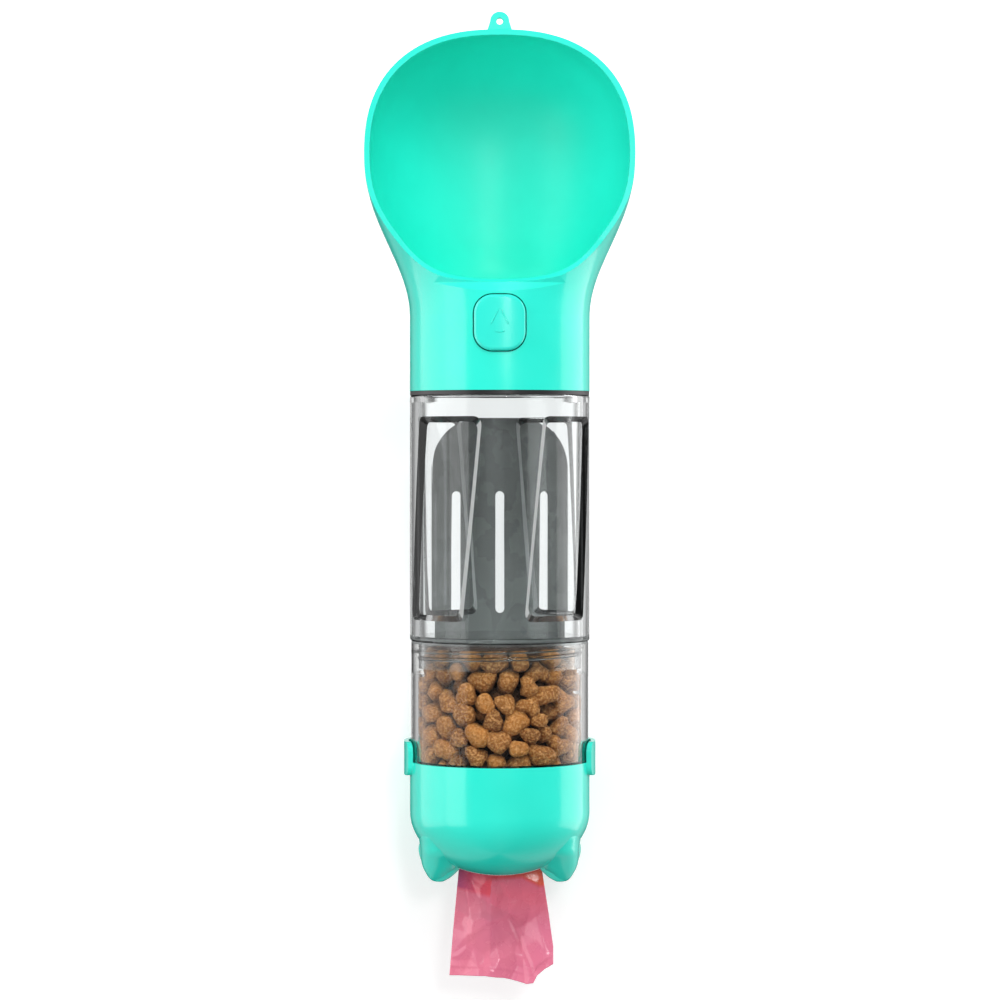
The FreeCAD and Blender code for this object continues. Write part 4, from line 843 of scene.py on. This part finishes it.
# This attribute carries the double film, the gathered film and the painted light below the box.
tell(film, "layers_and_painted_light", np.clip(doubled + gathered + 0.26 * painted_light_below_box, 0, 1))
tell(film, "across", np.clip((x_mm + 15) / 30, 0, 1) * gathered / FULL_GATHER + 0.3 * painted_light_below_box)
thick = film.modifiers.new("film_thickness", "SOLIDIFY")
thick.thickness = FILM_THICKNESS
thick.offset = 0.0
film.data.materials.append(film_pink)
film.visible_glossy = False
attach(film, "bag")
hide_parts("bag_tail")

# %% [markdown]
# ## Fuller feet
# The two pointed feet of the bag box run up the rounded bottom in a broad triangle, like a
# cat's ears. The solids hold their tips; these two skins give the broad part its form. Each is
# a stack of ovals that widen from the tip, given in mm above the tip, and what would lie
# inside the box is pulled out to the middle of its wall.

# %% Feet
EAR_CORNERS, SQUARER = 64, 0.85
BODY_RADIUS, DOME_TOP, DOME_HEIGHT, HALF_WALL = 32.5, 25.6, 23.1, 1.2
box_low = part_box("bag_box")[0]
level = np.array([0, 0.15, 0.5, 1.1, 2.2, 3.4, 4.7, 6.4, 8.3, 10.2, 12, 13.4, 14.8, 16.3, 17.8,
                  19.2, 20.4])
outer_x = np.interp(level, [0, 0.15, 0.5, 1.1, 2.2, 4.7, 7, 9.2, 13.7, 17.3, 19.2, 20.4],
                    [23.3, 24.0, 24.7, 25.4, 26.2, 27.6, 28.4, 28.7, 29.0, 29.5, 29.9, 29.8])
inner_x = np.interp(level, [0, 0.15, 0.5, 1.1, 2.2, 3.8, 5.1, 9, 14, 20.4],
                    [22.9, 22.2, 21.4, 20.5, 19.2, 17.6, 15.2, 11, 8, 6])
half_deep = np.interp(level, [0, 0.15, 0.5, 1.1, 2.2, 4.7, 8.3, 12, 14.8, 17.8, 19.2, 20.4],
                      [0.2, 0.9, 1.8, 2.9, 4.5, 7.7, 12.0, 17.0, 18.6, 20.3, 20.4, 19.4])


def ear(name, side):
    """The skin of one foot; side is -1 on the left and 1 on the right."""
    angle = -np.pi / 2 + (np.arange(EAR_CORNERS) + 0.5) * 2 * np.pi / EAR_CORNERS
    round_x = np.sign(np.cos(angle)) * np.abs(np.cos(angle)) ** SQUARER
    round_y = np.sign(np.sin(angle)) * np.abs(np.sin(angle)) ** SQUARER
    x = ((outer_x + inner_x) / 2)[:, None] + ((outer_x - inner_x) / 2)[:, None] * round_x
    y = half_deep[:, None] * round_y
    share = np.clip((DOME_TOP - level) / DOME_HEIGHT, 0, 1)
    wall = (BODY_RADIUS * np.sqrt(np.clip(1 - share ** 2, 0, 1)) - HALF_WALL)[:, None]
    grow = np.maximum(1.0, wall / np.hypot(x, y))
    x, y = x * grow, y * grow
    z = np.broadcast_to(level[:, None], x.shape)
    rings = np.stack([axis_x + side * x * MM, axis_y + y * MM, box_low.z + z * MM], axis=-1)
    faces = grid_faces(len(level), EAR_CORNERS, closed=True).tolist()
    faces.append(list(range(EAR_CORNERS))[::-1])
    top, last = (len(level) - 1) * EAR_CORNERS, len(level) * EAR_CORNERS - 1
    faces += [[top + k, top + k + 1, last - k - 1, last - k] for k in range(EAR_CORNERS // 2 - 1)]
    return face_outwards(finish_mesh(name, rings, faces))


for name, side_of in (("ear_skin_left", -1), ("ear_skin_right", 1)):
    foot = ear(name, side_of)
    foot.data.materials.append(teal)
    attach(foot, "base")
print("feet reach", round(float(half_deep.max()), 1), "mm to the front and to the back")

# %% [markdown]
# ## Floor and backdrop
# The bottle hangs in front of a sheet of white paper that comes close behind its foot and
# bends away towards the top, which leaves a soft shadow only round the foot. The paper is seen
# by the camera alone and is see-through from behind, so it hides nothing from other sides.

# %% Stage
def paper_finish(name, glow):
    """White paper whose unshaded part is plain white in the picture."""
    finish, tree, shader = new_finish(name)
    shader.inputs["Base Color"].default_value = (0.9, 0.9, 0.9, 1)
    shader.inputs["Roughness"].default_value = 1.0
    shader.inputs["Specular IOR Level"].default_value = 0.0
    shader.inputs["Emission Color"].default_value = (1, 1, 1, 1)
    camera_ray = tree.nodes.new("ShaderNodeLightPath").outputs["Is Camera Ray"]
    tree.links.new(math_node(tree, "MULTIPLY", camera_ray, glow),
                   shader.inputs["Emission Strength"])
    see_through = tree.nodes.new("ShaderNodeBsdfTransparent").outputs[0]
    from_behind = tree.nodes.new("ShaderNodeNewGeometry").outputs["Backfacing"]
    tree.links.new(either(tree, from_behind, shader.outputs[0], see_through),
                   tree.nodes["Material Output"].inputs["Surface"])
    return finish


PAPER_GLOW = 0.27
FLOOR_Z, FLOOR_HALF = -0.42, 3.0
PAPER_TOP, PAPER_HALF, PAPER_ROWS, PAPER_COLUMNS = 0.35, 0.45, 60, 20
PAPER_Y, BEND_Z, BEND, BEND_POWER = 0.052, -0.262, 1.2, 1.4
rise = np.linspace(FLOOR_Z, PAPER_TOP, PAPER_ROWS)[:, None]
across = np.linspace(-PAPER_HALF, PAPER_HALF, PAPER_COLUMNS)[None, :]
lean_back = PAPER_Y + np.clip(rise - BEND_Z, 0, None) ** BEND_POWER * BEND
paper = finish_mesh("paper_backdrop",
                    np.stack(np.broadcast_arrays(across, lean_back, rise), axis=-1),
                    grid_faces(PAPER_ROWS, PAPER_COLUMNS).tolist())
floor_corners = np.array([[-1, -1], [1, -1], [1, 1], [-1, 1]]) * FLOOR_HALF
floor = finish_mesh("pale_floor", np.insert(floor_corners, 2, FLOOR_Z, axis=1), [[0, 1, 2, 3]])
for white in (paper, floor):
    white.data.materials.append(paper_finish(white.name + "_white", PAPER_GLOW))
    white.visible_glossy = white.visible_transmission = white.visible_diffuse = False
paper.visible_shadow = False
print("stage", paper.name, floor.name)
